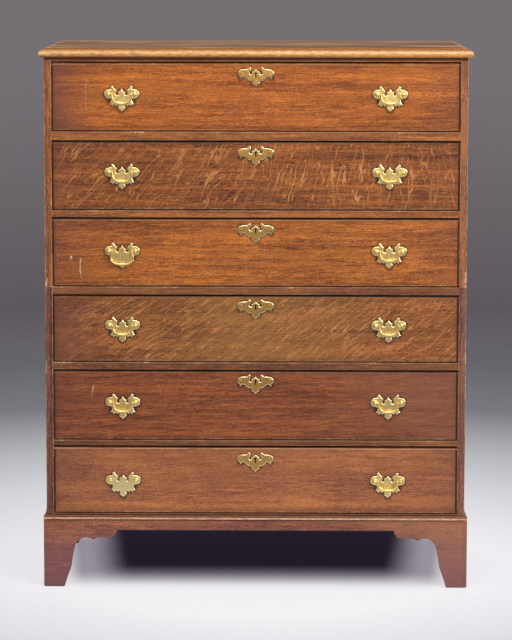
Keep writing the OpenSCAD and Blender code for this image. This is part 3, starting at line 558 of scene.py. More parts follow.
def forged_iron():
    """Forged iron, filed flat and oiled: dark grey, half dull, with a brown bloom of rust."""
    colours = bpy.context.scene.chest_colours
    material, tree = start("forged_iron_oiled")
    node = functools.partial(add, tree)
    at = node("TexCoord").outputs["Object"]
    # Patches of rust 17 mm across.
    cloud = node("TexNoise", {"Vector": at, "Scale": 60, "Detail": 5, "Roughness": 0.6})
    bloom = faded(node, cloud, 0.72, 0.5, 0.8)
    metal = node("MixRGB", {0: bloom, 1: colours.iron, 2: colours.rust})
    rough = faded(node, cloud, 0.3, 0.7, 0.38, 0.75)
    bump = node("Bump", {"Height": cloud, "Strength": 0.4, "Distance": 0.2 * MM})
    finish(tree, node("BsdfPrincipled", {
        "Base Color": metal, "Metallic": 0.85, "Roughness": rough, "Normal": bump}))
    return material


# Boards


def islands(count, edges):
    """The number of the connected piece that each point is in: every edge passes on the smaller
    number of its two ends until nothing changes."""
    label = np.arange(count)
    while True:
        least = np.minimum(label[edges[:, 0]], label[edges[:, 1]])
        new = label.copy()
        np.minimum.at(new, edges[:, 0], least)
        np.minimum.at(new, edges[:, 1], least)
        new = new[new]
        if (new == label).all():
            return np.unique(label, return_inverse=True)[1]
        label = new


def read(items, name, width, kind=np.float32):
    """One property of all the items of a mesh, as rows of the given width."""
    values = np.empty(len(items) * width, kind)
    items.foreach_get(name, values)
    return values.reshape(-1, width) if width > 1 else values


def put(mesh, name, values, domain="POINT"):
    """Adds an attribute with a number or a vector for each item."""
    layer = mesh.attributes.new(name, "FLOAT_VECTOR" if values.ndim == 2 else "FLOAT", domain)
    layer.data.foreach_set("vector" if values.ndim == 2 else "value",
                           values.astype(np.float32).ravel())


def board_coordinates(mesh, seed):
    """Gives each board in the mesh its own place: x runs along its longest side, y across and z
    through it, plus a random shift. Also gives the distances to the sides of its box."""
    at = read(mesh.vertices, "co", 3)
    piece = islands(len(at), read(mesh.edges, "vertices", 2, np.int32))
    count = piece.max() + 1
    low, high = np.full((count, 3), 9e9), np.full((count, 3), -9e9)
    np.minimum.at(low, piece, at)
    np.maximum.at(high, piece, at)
    order = np.argsort(low - high, axis=1)
    shift = np.random.default_rng(seed).uniform(-5, 5, (count, 3))
    put(mesh, "place", np.take_along_axis(at, order[piece], 1) + shift[piece])
    put(mesh, "edge_low", at - low[piece])
    put(mesh, "edge_high", high[piece] - at)


def applied(obj):
    """Puts the object's modifiers into its mesh, which it returns."""
    graph = bpy.context.evaluated_depsgraph_get()
    worked = bpy.data.meshes.new_from_object(obj.evaluated_get(graph), depsgraph=graph)
    obj.modifiers.clear()
    source, obj.data = obj.data, worked
    bpy.data.meshes.remove(source)
    return worked


def long_arrises(mesh, arris):
    """1 for the edges to round: those whose two faces turn by more than 40 degrees (their
    normals' product is under cos 40) and that are over five times as long as the rounding is
    wide, which leaves out bores and small curves."""
    at = read(mesh.vertices, "co", 3)
    ends = read(mesh.edges, "vertices", 2, np.int32)
    normals = read(mesh.polygons, "normal", 3)
    face_of_loop = np.repeat(np.arange(len(mesh.polygons)), read(
        mesh.polygons, "loop_total", 1, np.int32))
    edge_of_loop = read(mesh.loops, "edge_index", 1, np.int32)
    order = np.argsort(edge_of_loop, kind="stable")
    edge, face = edge_of_loop[order], face_of_loop[order]
    pair = edge[1:] == edge[:-1]
    turn = np.ones(len(ends))
    turn[edge[1:][pair]] = (normals[face[1:][pair]] * normals[face[:-1][pair]]).sum(1)
    run = np.linalg.norm(at[ends[:, 0]] - at[ends[:, 1]], axis=1)
    return ((turn < math.cos(math.radians(40))) & (run > 5 * arris)).astype(float)


def worn_copy(node, arris, material):
    """A copy of a solid with its loose triangles merged and its arrises rounded, which stands
    for that solid."""
    source = frame["nodes"][node]
    mesh = source.data.copy()
    mesh.shade_smooth()
    obj = bpy.data.objects.new(node + "_worn", mesh)
    bpy.context.scene.collection.objects.link(obj)
    weld = obj.modifiers.new("weld", "WELD")
    weld.merge_threshold = 0.002 * MM
    worked = applied(obj)
    put(worked, "bevel_weight_edge", long_arrises(worked, arris), "EDGE")
    bevel = obj.modifiers.new("arris", "BEVEL")
    bevel.width = arris
    bevel.segments = 2
    bevel.limit_method = "WEIGHT"
    bevel.use_clamp_overlap = False
    worked = applied(obj)
    worked.materials.clear()
    worked.materials.append(material)
    board_coordinates(worked, sum(map(ord, node)))
    smooth_by_angle(worked, 46)
    # Normals weighted by area keep the flats flat between the rounded arrises.
    obj.modifiers.new("flats", "WEIGHTED_NORMAL").keep_sharp = True
    return settle(obj, source["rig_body"], [node])


def smooth_by_angle(mesh, degrees):
    """Shades a mesh smooth but for the edges that turn by more than the angle."""
    mesh.shade_smooth()
    mesh.set_sharp_from_angle(angle=math.radians(degrees))


def settle(obj, body, nodes):
    """Lets a piece ride on its body and stand for the solids it replaces."""
    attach(obj, body)
    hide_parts(*nodes)
    return obj


# Brasses

# Outlines of the plates in millimetres, from the top tip down the right side to the bottom tip.
# The stretch after a corner [x, z, bulge] is an arc whose rise is bulge times half its chord,
# to the left of the way for a positive bulge.
HANDLE_HALF = [
    [0, 14.4, -0.15], [5, 6.6, 0.3], [8.8, 2.4, -0.5], [9.6, -2.6, -0.4], [14.6, -1, -0.3],
    [13.4, 5, 0.25], [13.8, 10.6, -0.15], [17, 13.4, -0.15], [20.4, 19.2, 0.3],
    [26.6, 17, 0.15], [25.4, 11.6, 0.05], [32, 10.8, 0.414], [42.6, 0, 0.414],
    [32, -10.8, -0.15], [25, -13.2, -0.2], [26.4, -18, -0.25], [30.6, -24.6, 0.15],
    [26, -26, -0.2], [22.2, -30.8, 0.1], [19, -26.4, -0.3], [14.2, -29.8, 0.1],
    [10.2, -27.4, -0.2], [6.6, -29.8, 0.3], [8.8, -33.6, 0.25], [4.2, -39, -0.15],
    [0, -43.5, 0],
]
KEY_HALF = [
    [0, 13.6, -0.1], [5, 9.2, 0.15], [10.8, 5.8, -0.3], [9, 1.9, -0.5], [14.8, 3, -0.2],
    [13.4, 8.4, 0.2], [12, 13.6, 0.3], [14, 18.8, 0.3], [18.6, 15.4, -0.15], [24, 13.6, 0.08],
    [35, 12.8, 0.25], [43.4, 6.4, 0.2], [42.2, -1, 0.1], [38.8, -5, -0.2], [38.6, -12.2, 0.1],
    [34, -6.6, -0.15], [28.6, -5.4, -0.2], [24, -8.6, 0.1], [15.8, -14.6, -0.1],
    [9.6, -15.4, -0.3], [10, -19.8, 0.2], [5.6, -23.8, -0.15], [0, -29.5, 0],
]


def arc(a, b, bulge, step=0.8):
    """Points from a to just before b on the arc: the centre lies on the chord's bisector, and
    the angle goes evenly from a's to b's."""
    a, b = np.array(a, float), np.array(b, float)
    chord = b - a
    size = np.hypot(*chord)
    if abs(bulge) < 1e-6:
        count = max(1, math.ceil(size / step))
        return a + chord * (np.arange(count) / count)[:, None]
    sweep = 4 * math.atan(abs(bulge))
    r = size / 2 / math.sin(sweep / 2)
    side = math.copysign(1, bulge)
    left = np.array([-chord[1], chord[0]]) / size * side
    centre = (a + b) / 2 - left * r * math.cos(sweep / 2)
    first = math.atan2(*(a - centre)[::-1])
    count = max(2, math.ceil(sweep * r / step))
    turn = first - side * sweep * np.arange(count) / count
    return centre + r * np.stack([np.cos(turn), np.sin(turn)], 1)


def outline(half):
    """The closed outline in metres: the right half, then its mirror image back to the top."""
    right = np.concatenate([arc(a[:2], b[:2], a[2]) for a, b in zip(half, half[1:])])
    left = right[:0:-1] * (-1, 1)
    tip = np.array([half[-1][:2]], float)
    return np.concatenate([right, tip, left]) * MM


def keyhole():
    """A round head over a slot, as a loop of points in metres."""
    r, half_slot, half_l = 2.3, 1.5, 6.25
    top = half_l - r
    turn = math.asin(half_slot / r)
    angle = np.linspace(-math.pi / 2 + turn, 1.5 * math.pi - turn, 24)
    head = np.stack([r * np.cos(angle), top + r * np.sin(angle)], 1)
    # Points every 0.75 mm down the slot's left side, along its foot and up its right side.
    down = np.arange(head[-1, 1] - 0.75, -half_l + 0.4, -0.75)
    along = np.linspace(-half_slot, half_slot, 5)
    foot = [np.stack([0 * down - half_slot, down], 1), np.stack([along, 0 * along - half_l], 1),
            np.stack([0 * down + half_slot, down[::-1]], 1)]
    return np.concatenate([head] + foot) * MM


def edge_distance(points, loops):
    """The distance from each point to the nearest stretch of the loops: to the foot of the
    perpendicular where it falls on the stretch, else to its nearer end."""
    near = np.full(len(points), 9e9)
    for loop in loops:
        a, way = loop, np.roll(loop, -1, 0) - loop
        gap = points[:, None] - a
        share = np.clip((gap * way).sum(2) / (way * way).sum(1), 0, 1)
        near = np.minimum(near, np.linalg.norm(gap - share[..., None] * way, axis=2).min(1))
    return near


def inside(points, loop):
    """Whether each point is in the loop: a ray to the right crosses it an odd number of times."""
    a, b = loop, np.roll(loop, -1, 0)
    x, z = points[:, :1], points[:, 1:]
    spans = (a[:, 1] > z) != (b[:, 1] > z)
    rise = np.where(a[:, 1] == b[:, 1], 1, b[:, 1] - a[:, 1])
    crossing = a[:, 0] + (z - a[:, 1]) * (b[:, 0] - a[:, 0]) / rise
    return (spans & (x < crossing)).sum(1) % 2 == 1


def in_plate(points, loops):
    """Whether each point is in the first loop and in none of the others."""
    within = inside(points, loops[0])
    for hole in loops[1:]:
        within &= ~inside(points, hole)
    return within


def plate(loops, thick, rim_w, rim_t):
    """A flat plate with a filed bevel round its outline, which is the first of the loops. The
    others are holes. Its thickness is rim_t + (thick - rim_t) * sqrt(1 - (1 - d / rim_w) ^ 2),
    where d is the distance to the outline, up to rim_w. Returns points, faces and the bevel's
    share at each point."""
    # Rings of points at shares of the bevel's width, and a grid within them.
    rings = []
    for loop in loops:
        way = np.roll(loop, -1, 0) - np.roll(loop, 1, 0)
        inward = np.stack([way[:, 1], -way[:, 0]], 1) / np.linalg.norm(way, axis=1)[:, None]
        if not inside(loop[:1] + inward[:1] * 0.1 * MM, loops[0])[0]:
            inward = -inward
        for share in (0.12, 0.35, 0.65, 1.0):
            ring = loop + inward * rim_w * share
            rings.append(ring[edge_distance(ring, loops) > rim_w * share * 0.97])
    low, high = loops[0].min(0), loops[0].max(0)
    step = 1.5 * MM
    grid = np.stack(np.meshgrid(np.arange(low[0], high[0], step),
                                np.arange(low[1], high[1], step)), 2).reshape(-1, 2)
    rings.append(grid[edge_distance(grid, loops) > rim_w + 0.6 * step])
    filling = np.concatenate(rings)
    points = np.concatenate(loops + [filling[in_plate(filling, loops)]])
    edges, base = [], 0
    for loop in loops:
        index = np.arange(len(loop)) + base
        edges += np.stack([index, np.roll(index, -1)], 1).tolist()
        base += len(loop)
    flat, _, faces, _, _, _ = geometry.delaunay_2d_cdt(
        [Vector(p) for p in points.tolist()], edges, [], 0, 1e-7)
    flat, faces = np.array([tuple(p) for p in flat]), np.array(faces)
    faces = faces[in_plate(flat[faces].mean(1), loops)]
    share = np.clip(edge_distance(flat, loops[:1]) / rim_w, 0, 1)
    tall = rim_t + (thick - rim_t) * np.sqrt(1 - (1 - share) ** 2)
    count = len(flat)
    front = np.stack([flat[:, 0], -tall, flat[:, 1]], 1)
    back = np.stack([flat[:, 0], np.zeros(count), flat[:, 1]], 1)
    # Seen from the front, the triangles run anticlockwise, so they face -Y.
    a, b, c = front[faces[:, 0]], front[faces[:, 1]], front[faces[:, 2]]
    away = np.cross(b - a, c - a)[:, 1] > 0
    faces[away] = faces[away][:, ::-1]
    ways = np.concatenate([faces[:, [0, 1]], faces[:, [1, 2]], faces[:, [2, 0]]])
    key = np.sort(ways, 1)
    _, first, uses = np.unique(key, axis=0, return_index=True, return_counts=True)
    rim = ways[first[uses == 1]]
    walls = [rim[:, [1, 0]], rim + count]
    quads = np.concatenate([walls[0], walls[1]], 1)
    used = np.unique(faces)
    new = np.full(2 * count, -1)
    new[used], new[used + count] = np.arange(len(used)), np.arange(len(used)) + len(used)
    points = np.concatenate([front[used], back[used]])
    solid = [new[faces], new[faces[:, ::-1] + count], new[quads]]
    bright = np.clip(1.6 * (1 - share[used]), 0, 1)
    return points, [f for part in solid for f in part.tolist()], np.tile(bright, 2)


def grid_solid(points):
    """Faces of a tube whose rings are the rows of a grid of points [row, turn, xyz], with both
    ends closed: each row joins the next, and the last turn joins the first."""
    rows, turns = points.shape[:2]
    i, j = np.meshgrid(np.arange(rows - 1), np.arange(turns), indexing="ij")
    k = (j + 1) % turns
    quads = np.stack([i * turns + j, i * turns + k, (i + 1) * turns + k, (i + 1) * turns + j], 2)
    ends = [list(range(turns))[::-1], [(rows - 1) * turns + n for n in range(turns)]]
    return points.reshape(-1, 3), quads.reshape(-1, 4).tolist() + ends


def turned(profile, axis, turns=28, square=2.0):
    """A shape turned on the given axis (0 is X, 1 is Y). The profile is (distance along the
    axis, radius). The radius at angle t is divided by (|cos t| ^ p + |sin t| ^ p) ^ (1 / p), so
    p = 2 is round and a large p is square."""
    profile = np.array(profile, float) * MM
    t = np.arange(turns) / turns * 2 * math.pi
    r = (np.abs(np.cos(t)) ** square + np.abs(np.sin(t)) ** square) ** (-1 / square)
    along = np.repeat(profile[:, :1], turns, 1)
    u, v = profile[:, 1:] * np.cos(t) * r, profile[:, 1:] * np.sin(t) * r
    grid = np.stack([along, u, v] if axis == 0 else [v, along, u], 2)
    return grid_solid(grid)


def bail_bar(half_w, low, square, spread, sag, bar_r, grip_r, rings=72, sides=16):
    """A swelled bar bent to a superellipse: at angle t from 0 to 180 degrees its middle is at
    x = (half_w + spread sin t) cos t ^ (2 / square), z = -low sin t ^ (2 / square) - sag
    sin t ^ 6, and its radius grows from bar_r to grip_r with sin t ^ 6. It lies in the XZ
    plane."""
    t = np.linspace(0, math.pi, rings)

    def middle(t):
        power = 2 / square
        c, s = np.cos(t), np.abs(np.sin(t))
        x = (half_w + spread * s) * np.sign(c) * np.abs(c) ** power
        return np.stack([x, 0 * t, -low * s ** power - sag * s ** 6], 1)

    step = 0.01
    way = middle(np.minimum(t + step, math.pi)) - middle(np.maximum(t - step, 0))
    out = np.stack([-way[:, 2], way[:, 1], way[:, 0]], 1)
    out /= np.linalg.norm(out, axis=1)[:, None]
    r = bar_r + (grip_r - bar_r) * np.sin(t) ** 6
    turn = np.arange(sides) / sides * 2 * math.pi
    ring = np.cos(turn)[:, None] * out[:, None] + np.sin(turn)[:, None] * np.array([0, 1, 0])
    return grid_solid(middle(t)[:, None] + r[:, None, None] * ring)


def joined(parts):
    """Several (points, faces) as one, each moved to its places."""
    points, faces, base = [], [], 0
    for shape, moves in parts:
        for move in moves:
            points.append(shape[0] + np.array(move))
            faces += [[n + base for n in face] for face in shape[1]]
            base += len(shape[0])
    return np.concatenate(points), faces


def new_piece(name, points, faces, material, smooth=35):
    """An object with the given mesh, in the scene, with its place in its mesh."""
    mesh = bpy.data.meshes.new(name)
    mesh.from_pydata(points.tolist(), [], faces)
    mesh.materials.append(material)
    smooth_by_angle(mesh, smooth)
    obj = bpy.data.objects.new(name, mesh)
    bpy.context.scene.collection.objects.link(obj)
    return obj


def handle_joint(n, word):
    """Where a handle's bail is hinged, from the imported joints."""
    for joint in frame["joints"]:
        if joint["name"] == f"drawer_{n}_{word}_bail_swing":
            return np.array(joint["pos_m"])
    return None


def handle_places(n):
    """The middle of the posts of each handle on the drawer face. The left handle's place mirrors
    the right one's, because the bottom drawer has lost its left bail."""
    sizes = bpy.context.scene.chest_sizes
    right = handle_joint(n, "right") + (0, sizes.post_reach, 0)
    return [right * (-1, 1, 1), right]


def plate_middle(n):
    """The middle of the keyhole on the drawer face."""
    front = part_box(f"drawer_{n}_front")
    return np.array([0, handle_places(n)[1][1], front[1].z - KEY_DROP[n] * MM])


# Operators


def upright(x, z, half_l, wide):
    """A chip or scratch that runs upright: an arc of 1 m radius about a point to its right."""
    return (x + 1, z, 1, z - half_l, z + half_l, wide, 3)


def drawer_oaks():
    """The six drawer fronts are each of their own oak. For silver grain, fleck holds the slopes
    at the left and right, the pitch, run, amount and sway, and the lines. A mark is an arc: x, z
    and radius, its lowest and highest z, its width in millimetres and its strength."""
    c = bpy.context.scene.chest_colours
    olive = linear("#956835")
    looks = {
        1: dict(ends=(0.9, 0.3), fleck=(5, 5, 0.02, 0.006, 0.3, 0.02),
                marks=[(-0.12, 0.0, 0.29, -0.045, 0.05, 1.2, 1.4),
                       (-0.20, 0.02, 0.10, 0.043, 0.062, 1.2, 1.6)]),
        2: dict(contrast=0.6, ends=(0.3, 0.1), glow=0.3,
                fleck=(0.95, -0.1, 0.0105, 0.07, 0.12, 0.05, 1.3)),
        3: dict(contrast=0.6, ends=(0.5, 0.25), fleck=(7, 4, 0.03, 0.008, 0.3, 0.02),
                marks=[(-0.28, -0.036, 0.145, -0.064, -0.01, 2.2, 3),
                       upright(-0.447, -0.016, 0.01, 3.5)]),
        4: dict(contrast=0.7, ends=(0.75, 0.15), fleck=(1.6, 1.2, 0.011, 0.03, 0.5, 0.03, 1.2),
                patch=(olive, -0.22, 0.2)),
        5: dict(ends=(0.4, 0.15), glow=0.35, fleck=(7, 7, 0.03, 0.008, 0.2, 0.02),
                patch=(linear("#82533f"), 0.3, 0.8),
                marks=[(-0.22, 0.0, 0.18, 0.015, 0.055, 1.5, 2)]),
        6: dict(contrast=0.4, ends=(0.4, 0.45), fleck=(5, 6, 0.02, 0.006, 0.25, 0.02)),
    }
    # How worn the lower and the upper bead of each drawer are, and how dark the painted shade in
    # the gap above is.
    worn = {1: (0.2, 0.4, 0.2), 2: (0.1, 0.1, 0.95), 3: (0.1, 0.4, 0.95), 4: (0.1, 0.15, 0.95),
            5: (0.1, 0.2, 0.9), 6: (0, 0.9, 0.9)}
    made = {}
    for n in DRAWERS:
        low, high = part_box(f"drawer_{n}_front")
        middle = (0, 0, (low.z + high.z) / 2)
        shade = (handle_places(n)[1][2] - middle[2], plate_middle(n)[2] - middle[2])
        made[n] = oak(f"waxed_oak_drawer_{n}", getattr(c, f"drawer_{n}"), rub_w=1.2,
                      rubbed=0.65, middle=middle, shade=shade,
                      beads=(high.x, (high.z - low.z) / 2) + worn[n], **looks[n])
    return made


class CHEST_OT_case(bpy.types.Operator):
    """Works over the case boards, rails, top, base and mouldings"""

    bl_idname = "chest.case"
    bl_label = "Case, top and base"

    def execute(self, context):
        sizes, c = context.scene.chest_sizes, context.scene.chest_colours
        side = dict(contrast=0.6, plum=0.5, rubbed=0.7, rub_w=1.6)
        # Gaps are heights from full shade to none.
        sill_z, top_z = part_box("base_moulding")[0].z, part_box("top_board")[0].z
        under_top = [(top_z - 0.005, top_z - 0.008)]
        tones = {"upper_left": c.upper, "upper_right": c.upper_right,
                 "lower_left": c.lower_left, "lower_right": c.lower}
        # Chips on the front arrises. Heights are in metres from the floor.
        edge, seam = CASE_HALF_W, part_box("upper_left_side")[0].z
        chips = {"upper_left": [upright(-edge + 0.002, seam + 0.011, 0.012, 5),
                                upright(-edge + 0.018, 0.948, 0.018, 3)],
                 "upper_right": [upright(edge - 0.0015, seam + 0.018, 0.023, 5)],
                 "lower_left": [upright(-edge + 0.001, 0.545, 0.015, 3)],
                 "lower_right": [upright(edge, 0.569, 0.016, 2.5),
                                 upright(edge, 0.498, 0.028, 2.5)]}
        sides = {name: oak(f"waxed_oak_{name}_side", tone, gaps=under_top,
                           marks=chips[name], **side) for name, tone in tones.items()}
        upper = oak("waxed_oak_upper_rails", c.upper, gaps=under_top, rail=0.3, rubbed=0.35)
        lower = oak("waxed_oak_lower_rails", c.lower_rails, rail=0.35, rubbed=0.35,
                    marks=[(-0.447, -0.446, 1, 0.553, 0.5555, 4, 1.6)])
        sill = oak("waxed_oak_sill", c.drawer_6, rubbed=0.2,
                   gaps=[(sill_z + 0.0113, sill_z + 0.0126)])
        base = oak("dark_oak_base", c.base, rubbed=0.4, rub_w=1.2, foot=c.foot,
                   patch=(linear("#a9744f"), 0.28, 0.8),
                   gaps=[(sill_z - 0.001, sill_z - 0.0035)])
        # The fillet's golden line is rubbed wood and partly a painted highlight.
        mould = oak("rubbed_oak_moulding", c.base, fillet=(c.rubbed, 0.0052),
                    gaps=[(sill_z + 0.0105, sill_z + 0.009), (sill_z + 0.0012, sill_z + 0.0022)])
        top = oak("bleached_oak_top", c.top, contrast=0.6, glow=0.3, plum=0.4, fine=0.6,
                  wax=0.02, rubbed=0.7, stain=c.stain, nose=(c.nose, 0.02))
        for node, arris, material in [
            ("top_board", sizes.fine_arris, top),
            ("upper_rails", sizes.fine_arris, upper),
            ("lower_rails", sizes.fine_arris, lower),
            ("lower_bottom_board", sizes.fine_arris, sill),
            ("base_front_board", sizes.foot_arris, base),
            ("base_left_board", sizes.foot_arris, base),
            ("base_right_board", sizes.foot_arris, base),
            ("base_moulding", sizes.fine_arris, mould),
            ("foot_blocks", sizes.fine_arris, base),
        ]:
            worn_copy(node, arris, material)
        for name, material in sides.items():
            worn_copy(name + "_side", sizes.arris, material)
        return {"FINISHED"}


class CHEST_OT_inside(bpy.types.Operator):
    """Works over the unfinished boards inside and behind"""

    bl_idname = "chest.inside"
    bl_label = "Inside boards"

    def execute(self, context):
        sizes, c = context.scene.chest_sizes, context.scene.chest_colours
        bare = oak("unfinished_oak", c.inside, contrast=0.22, rubbed=0.25, bare=True)
        nodes = ["upper_bottom_board", "upper_backboards", "upper_runners", "lower_top_board",
                 "lower_backboards", "lower_runners"]
        for node in nodes + [f"drawer_{n}_box" for n in DRAWERS]:
            worn_copy(node, sizes.fine_arris, bare)
        return {"FINISHED"}


class CHEST_OT_drawers(bpy.types.Operator):
    """Works over the six drawer fronts with their cock beads"""

    bl_idname = "chest.drawers"
    bl_label = "Drawer fronts"

    def execute(self, context):
        sizes = context.scene.chest_sizes
        for n, material in drawer_oaks().items():
            worn_copy(f"drawer_{n}_front", sizes.fine_arris, material)
        return {"FINISHED"}


class CHEST_OT_plates(bpy.types.Operator):
    """Makes the bat-wing handle plates and keyhole plates"""

    bl_idname = "chest.plates"
    bl_label = "Brass plates"

    def execute(self, context):
        sizes = context.scene.chest_sizes
        bright = cast_brass("cast_brass_handle_plates", 0, 0.7, rim=True)
        dull = cast_brass("cast_brass_keyhole_plates", 0.75, 1, rim=True)
        thick, rim_w, rim_t = sizes.plate_t, sizes.rim_w, sizes.rim_t
        handle = plate([outline(HANDLE_HALF)], thick, rim_w, rim_t)
        key = plate([outline(KEY_HALF), keyhole()], thick, rim_w, rim_t)
        for n in DRAWERS:
            for word, shape, moves, metal in [
                    ("handle_plates", handle, handle_places(n), bright),
                    ("keyhole_plate", key, [plate_middle(n)], dull)]:
                points, faces = joined([(shape[:2], moves)])
                obj = new_piece(f"drawer_{n}_{word}", points, faces, metal, 50)
                rim = np.tile(shape[2], len(moves))
                if n == 6 and word == "handle_plates":
                    # The left one has no bail to rub against, and it was polished all over.
                    rim[:len(shape[2])] = np.maximum(rim[:len(shape[2])], 0.4)
                put(obj.data, "rim", rim)
                settle(obj, f"drawer_{n}", [f"drawer_{n}_brasses"])
        return {"FINISHED"}


class CHEST_OT_posts(bpy.types.Operator):
    """Makes the posts, nuts and plate pins"""

    bl_idname = "chest.posts"
    bl_label = "Posts, nuts and pins"

    def execute(self, context):
        sizes = context.scene.chest_sizes
        metal = cast_brass("cast_brass_posts", 0, 0.5)
        reach, ball, collar = (v / MM for v in (sizes.post_reach, sizes.ball_r, sizes.collar_r))
        # Collar with a hollow over it, neck and ball, from the plate outwards.
        turn = np.linspace(math.asin(2.5 / ball), math.pi, 14)
        head = np.stack([-reach + ball * np.cos(turn), ball * np.sin(turn)], 1)
        foot = [[25.4, 0.4], [25.4, 2.1], [25.1, 2.4], [-1.65, 2.4], [-1.65, collar - 0.2],
                [-1.9, collar], [-2.7, collar], [-3.2, collar - 0.6], [-3.25, 3.6],
                [-3.8, 2.9], [-5, 2.5]]
        post = turned(foot + head[:-1].tolist() + [[-reach - ball, 0.05]], axis=1)
        # A square nut behind the drawer front, and the domed head of a pin on its plate.
        nut = turned([[20, 2.6], [20, 4.9], [20.6, 5.5], [22.9, 5.5], [23.5, 4.9], [23.5, 2.6]],
                     axis=1, turns=32, square=9)
        turn = np.linspace(0.1, math.pi / 2, 6)
        dome = np.stack([-1.6 - 1.5 * np.sin(turn), 1.5 * np.cos(turn) + 0.02], 1)
        pin = turned([[-0.2, 0.7]] + dome.tolist(), axis=1, turns=16)
        spread = sizes.post_spacing / 2
        for n in DRAWERS:
            places = [p + (side * spread, 0, 0) for p in handle_places(n) for side in (-1, 1)]
            pins = [plate_middle(n) + (side * PIN_X * MM, 0, PIN_Z * MM) for side in (-1, 1)]
            points, faces = joined([(post, places), (nut, places), (pin, pins)])
            obj = new_piece(f"drawer_{n}_posts", points, faces, metal, 45)
            settle(obj, f"drawer_{n}", [f"drawer_{n}_brasses"])
        return {"FINISHED"}


class CHEST_OT_bails(bpy.types.Operator):
    """Makes the bails with their knuckles and pintles"""

    bl_idname = "chest.bails"
    bl_label = "Bails"

    def execute(self, context):
        s = context.scene.chest_sizes
        metal = cast_brass("cast_brass_bails", 0, 0.3)
        bar = dict(half_w=s.bail_half_w, bar_r=s.bail_r, grip_r=s.grip_r)
        plain = bail_bar(low=22.2 * MM, square=2.5, spread=0, sag=0, **bar)
        wide = bail_bar(low=26.2 * MM, square=3, spread=13.5 * MM, sag=5.5 * MM, **bar)
        half_w, end = s.bail_half_w / MM, s.post_spacing / 2 / MM + 2.4
        # A round knuckle at the end of each arm, and its pintle in the ball of the post.
        turn = np.linspace(0.15, math.pi - math.asin(1.5 / 2.6), 10)
        knuckle = np.stack([half_w - 2.6 * np.cos(turn), 2.6 * np.sin(turn)], 1).tolist()
        arm = turned(knuckle + [[end - 0.2, 1.5], [end, 1.3], [end, 0.1]], axis=0, turns=20)
        other = (arm[0] * (-1, 1, 1), [face[::-1] for face in arm[1]])
        for n in DRAWERS:
            for word in ("left", "right"):
                hinge = handle_joint(n, word)
                if hinge is None:
                    continue
                grip = wide if (n, word) == (3, "left") else plain
                points, faces = joined([(shape, [hinge]) for shape in (grip, arm, other)])
                name = f"drawer_{n}_{word}_bail"
                obj = new_piece(name + "_cast", points, faces, metal, 45)
                settle(obj, name, [name])
        return {"FINISHED"}


class CHEST_OT_locks(bpy.types.Operator):
    """Works over the iron locks and their bolts"""

    bl_idname = "chest.locks"
    bl_label = "Locks and bolts"

    def execute(self, context):
        iron = forged_iron()
        for n in DRAWERS:
            for word in ("lock", "bolt"):
                worn_copy(f"drawer_{n}_{word}", context.scene.chest_sizes.iron_arris, iron)
        return {"FINISHED"}


def studio_floor(c):
    """Rings of plain floor round the object, with a painted shadow under and just behind it.
    Near it the floor is matt paper that takes its shadow. Farther away the eye sees a backdrop
    whose tone goes with the distance r as r / (r + 4)."""
    radii = np.array([0.05, 0.5, 1, 2, 4, 8, 16, 40, 100, 400])
    t = np.arange(64) / 64 * 2 * math.pi
    ring = np.stack([np.cos(t), np.sin(t), 0 * t], 1)
    points = (radii[:, None, None] * ring).reshape(-1, 3)
    i, j = np.meshgrid(np.arange(len(radii) - 1), np.arange(64), indexing="ij")
    k = (j + 1) % 64
    quads = np.stack([i * 64 + j, (i + 1) * 64 + j, (i + 1) * 64 + k, i * 64 + k], 2)
    faces = quads.reshape(-1, 4).tolist() + [list(range(64))]

    material, tree = start("pale_studio_floor")
    node = functools.partial(add, tree)
    at = node("TexCoord").outputs["Object"]
    far = node("VectorMath", {0: at}, operation="LENGTH").outputs["Value"]
    rim = node("Math", {0: far, 1: 4}, operation="ADD")
    tones = [(0.12, "#fdfcff"), (0.19, "#dddce3"), (0.28, "#b8b9bd"), (0.368, "#797a80"),
             (0.445, "#68676c"), (0.55, "#5e575e"), (0.87, "#757073")]
    glow = shades(tree, node("Math", {0: far, 1: rim}, operation="DIVIDE"),
                  *[(place, linear(tone)) for place, tone in tones])
    grain = node("TexNoise", {"Vector": at, "Scale": 90, "Detail": 3})
    paper = node("MixRGB", {0: times(node, grain, 0.06), 1: c.floor, 2: c.backdrop})

    # A painted shadow, deep under and just behind the object, and a softer one round that, in
    # the paper and in the glow. Each starts at the first and is full at the second of its distances
    # to the side and in front.
    x, y, _ = node("SeparateXYZ", {0: at}).outputs
    side = node("Math", {0: y, 1: -0.1, 2: apart(node, x)}, operation="MULTIPLY_ADD")
    soft = dict(interpolation_type="SMOOTHSTEP")
    back = node("MapRange", {0: y, 1: 0.5, 2: 0.35}, **soft)
    for aside, front, share, shadow_on_paper, shadow_in_glow in [
            ((0.50, 0.44), (-0.29, -0.08), 0.7, "#6f5f7e", "#6f5f7e"),
            ((0.43, 0.32), (-0.25, -0.01), 0.98, "#0e0710", "#221527")]:
        dark = times(node, node("MapRange", {0: side, 1: aside[0], 2: aside[1]}, **soft),
                     node("MapRange", {0: y, 1: front[0], 2: front[1]}, **soft), back, share)
        paper = node("MixRGB", {0: dark, 1: paper, 2: linear(shadow_on_paper)})
        glow = node("MixRGB", {0: dark, 1: glow, 2: linear(shadow_in_glow)})

    matt = node("BsdfPrincipled", {"Base Color": paper, "Roughness": 0.9,
                                   "Specular IOR Level": 0.0})
    path = node("LightPath").outputs
    seen = path["Is Camera Ray"]
    for ray in ("Is Glossy Ray", "Is Transmission Ray"):
        seen = node("Math", {0: seen, 1: path[ray]}, operation="MAXIMUM")
    away = node("MapRange", {0: far, 1: 0.6, 2: 1.2, 3: 0.7, 4: 1}, **soft)
    finish(tree, node("MixShader", {0: times(node, seen, away), 1: matt,
                                    2: node("Emission", {"Color": glow})}))
    return new_piece("studio_floor", points, faces, material)


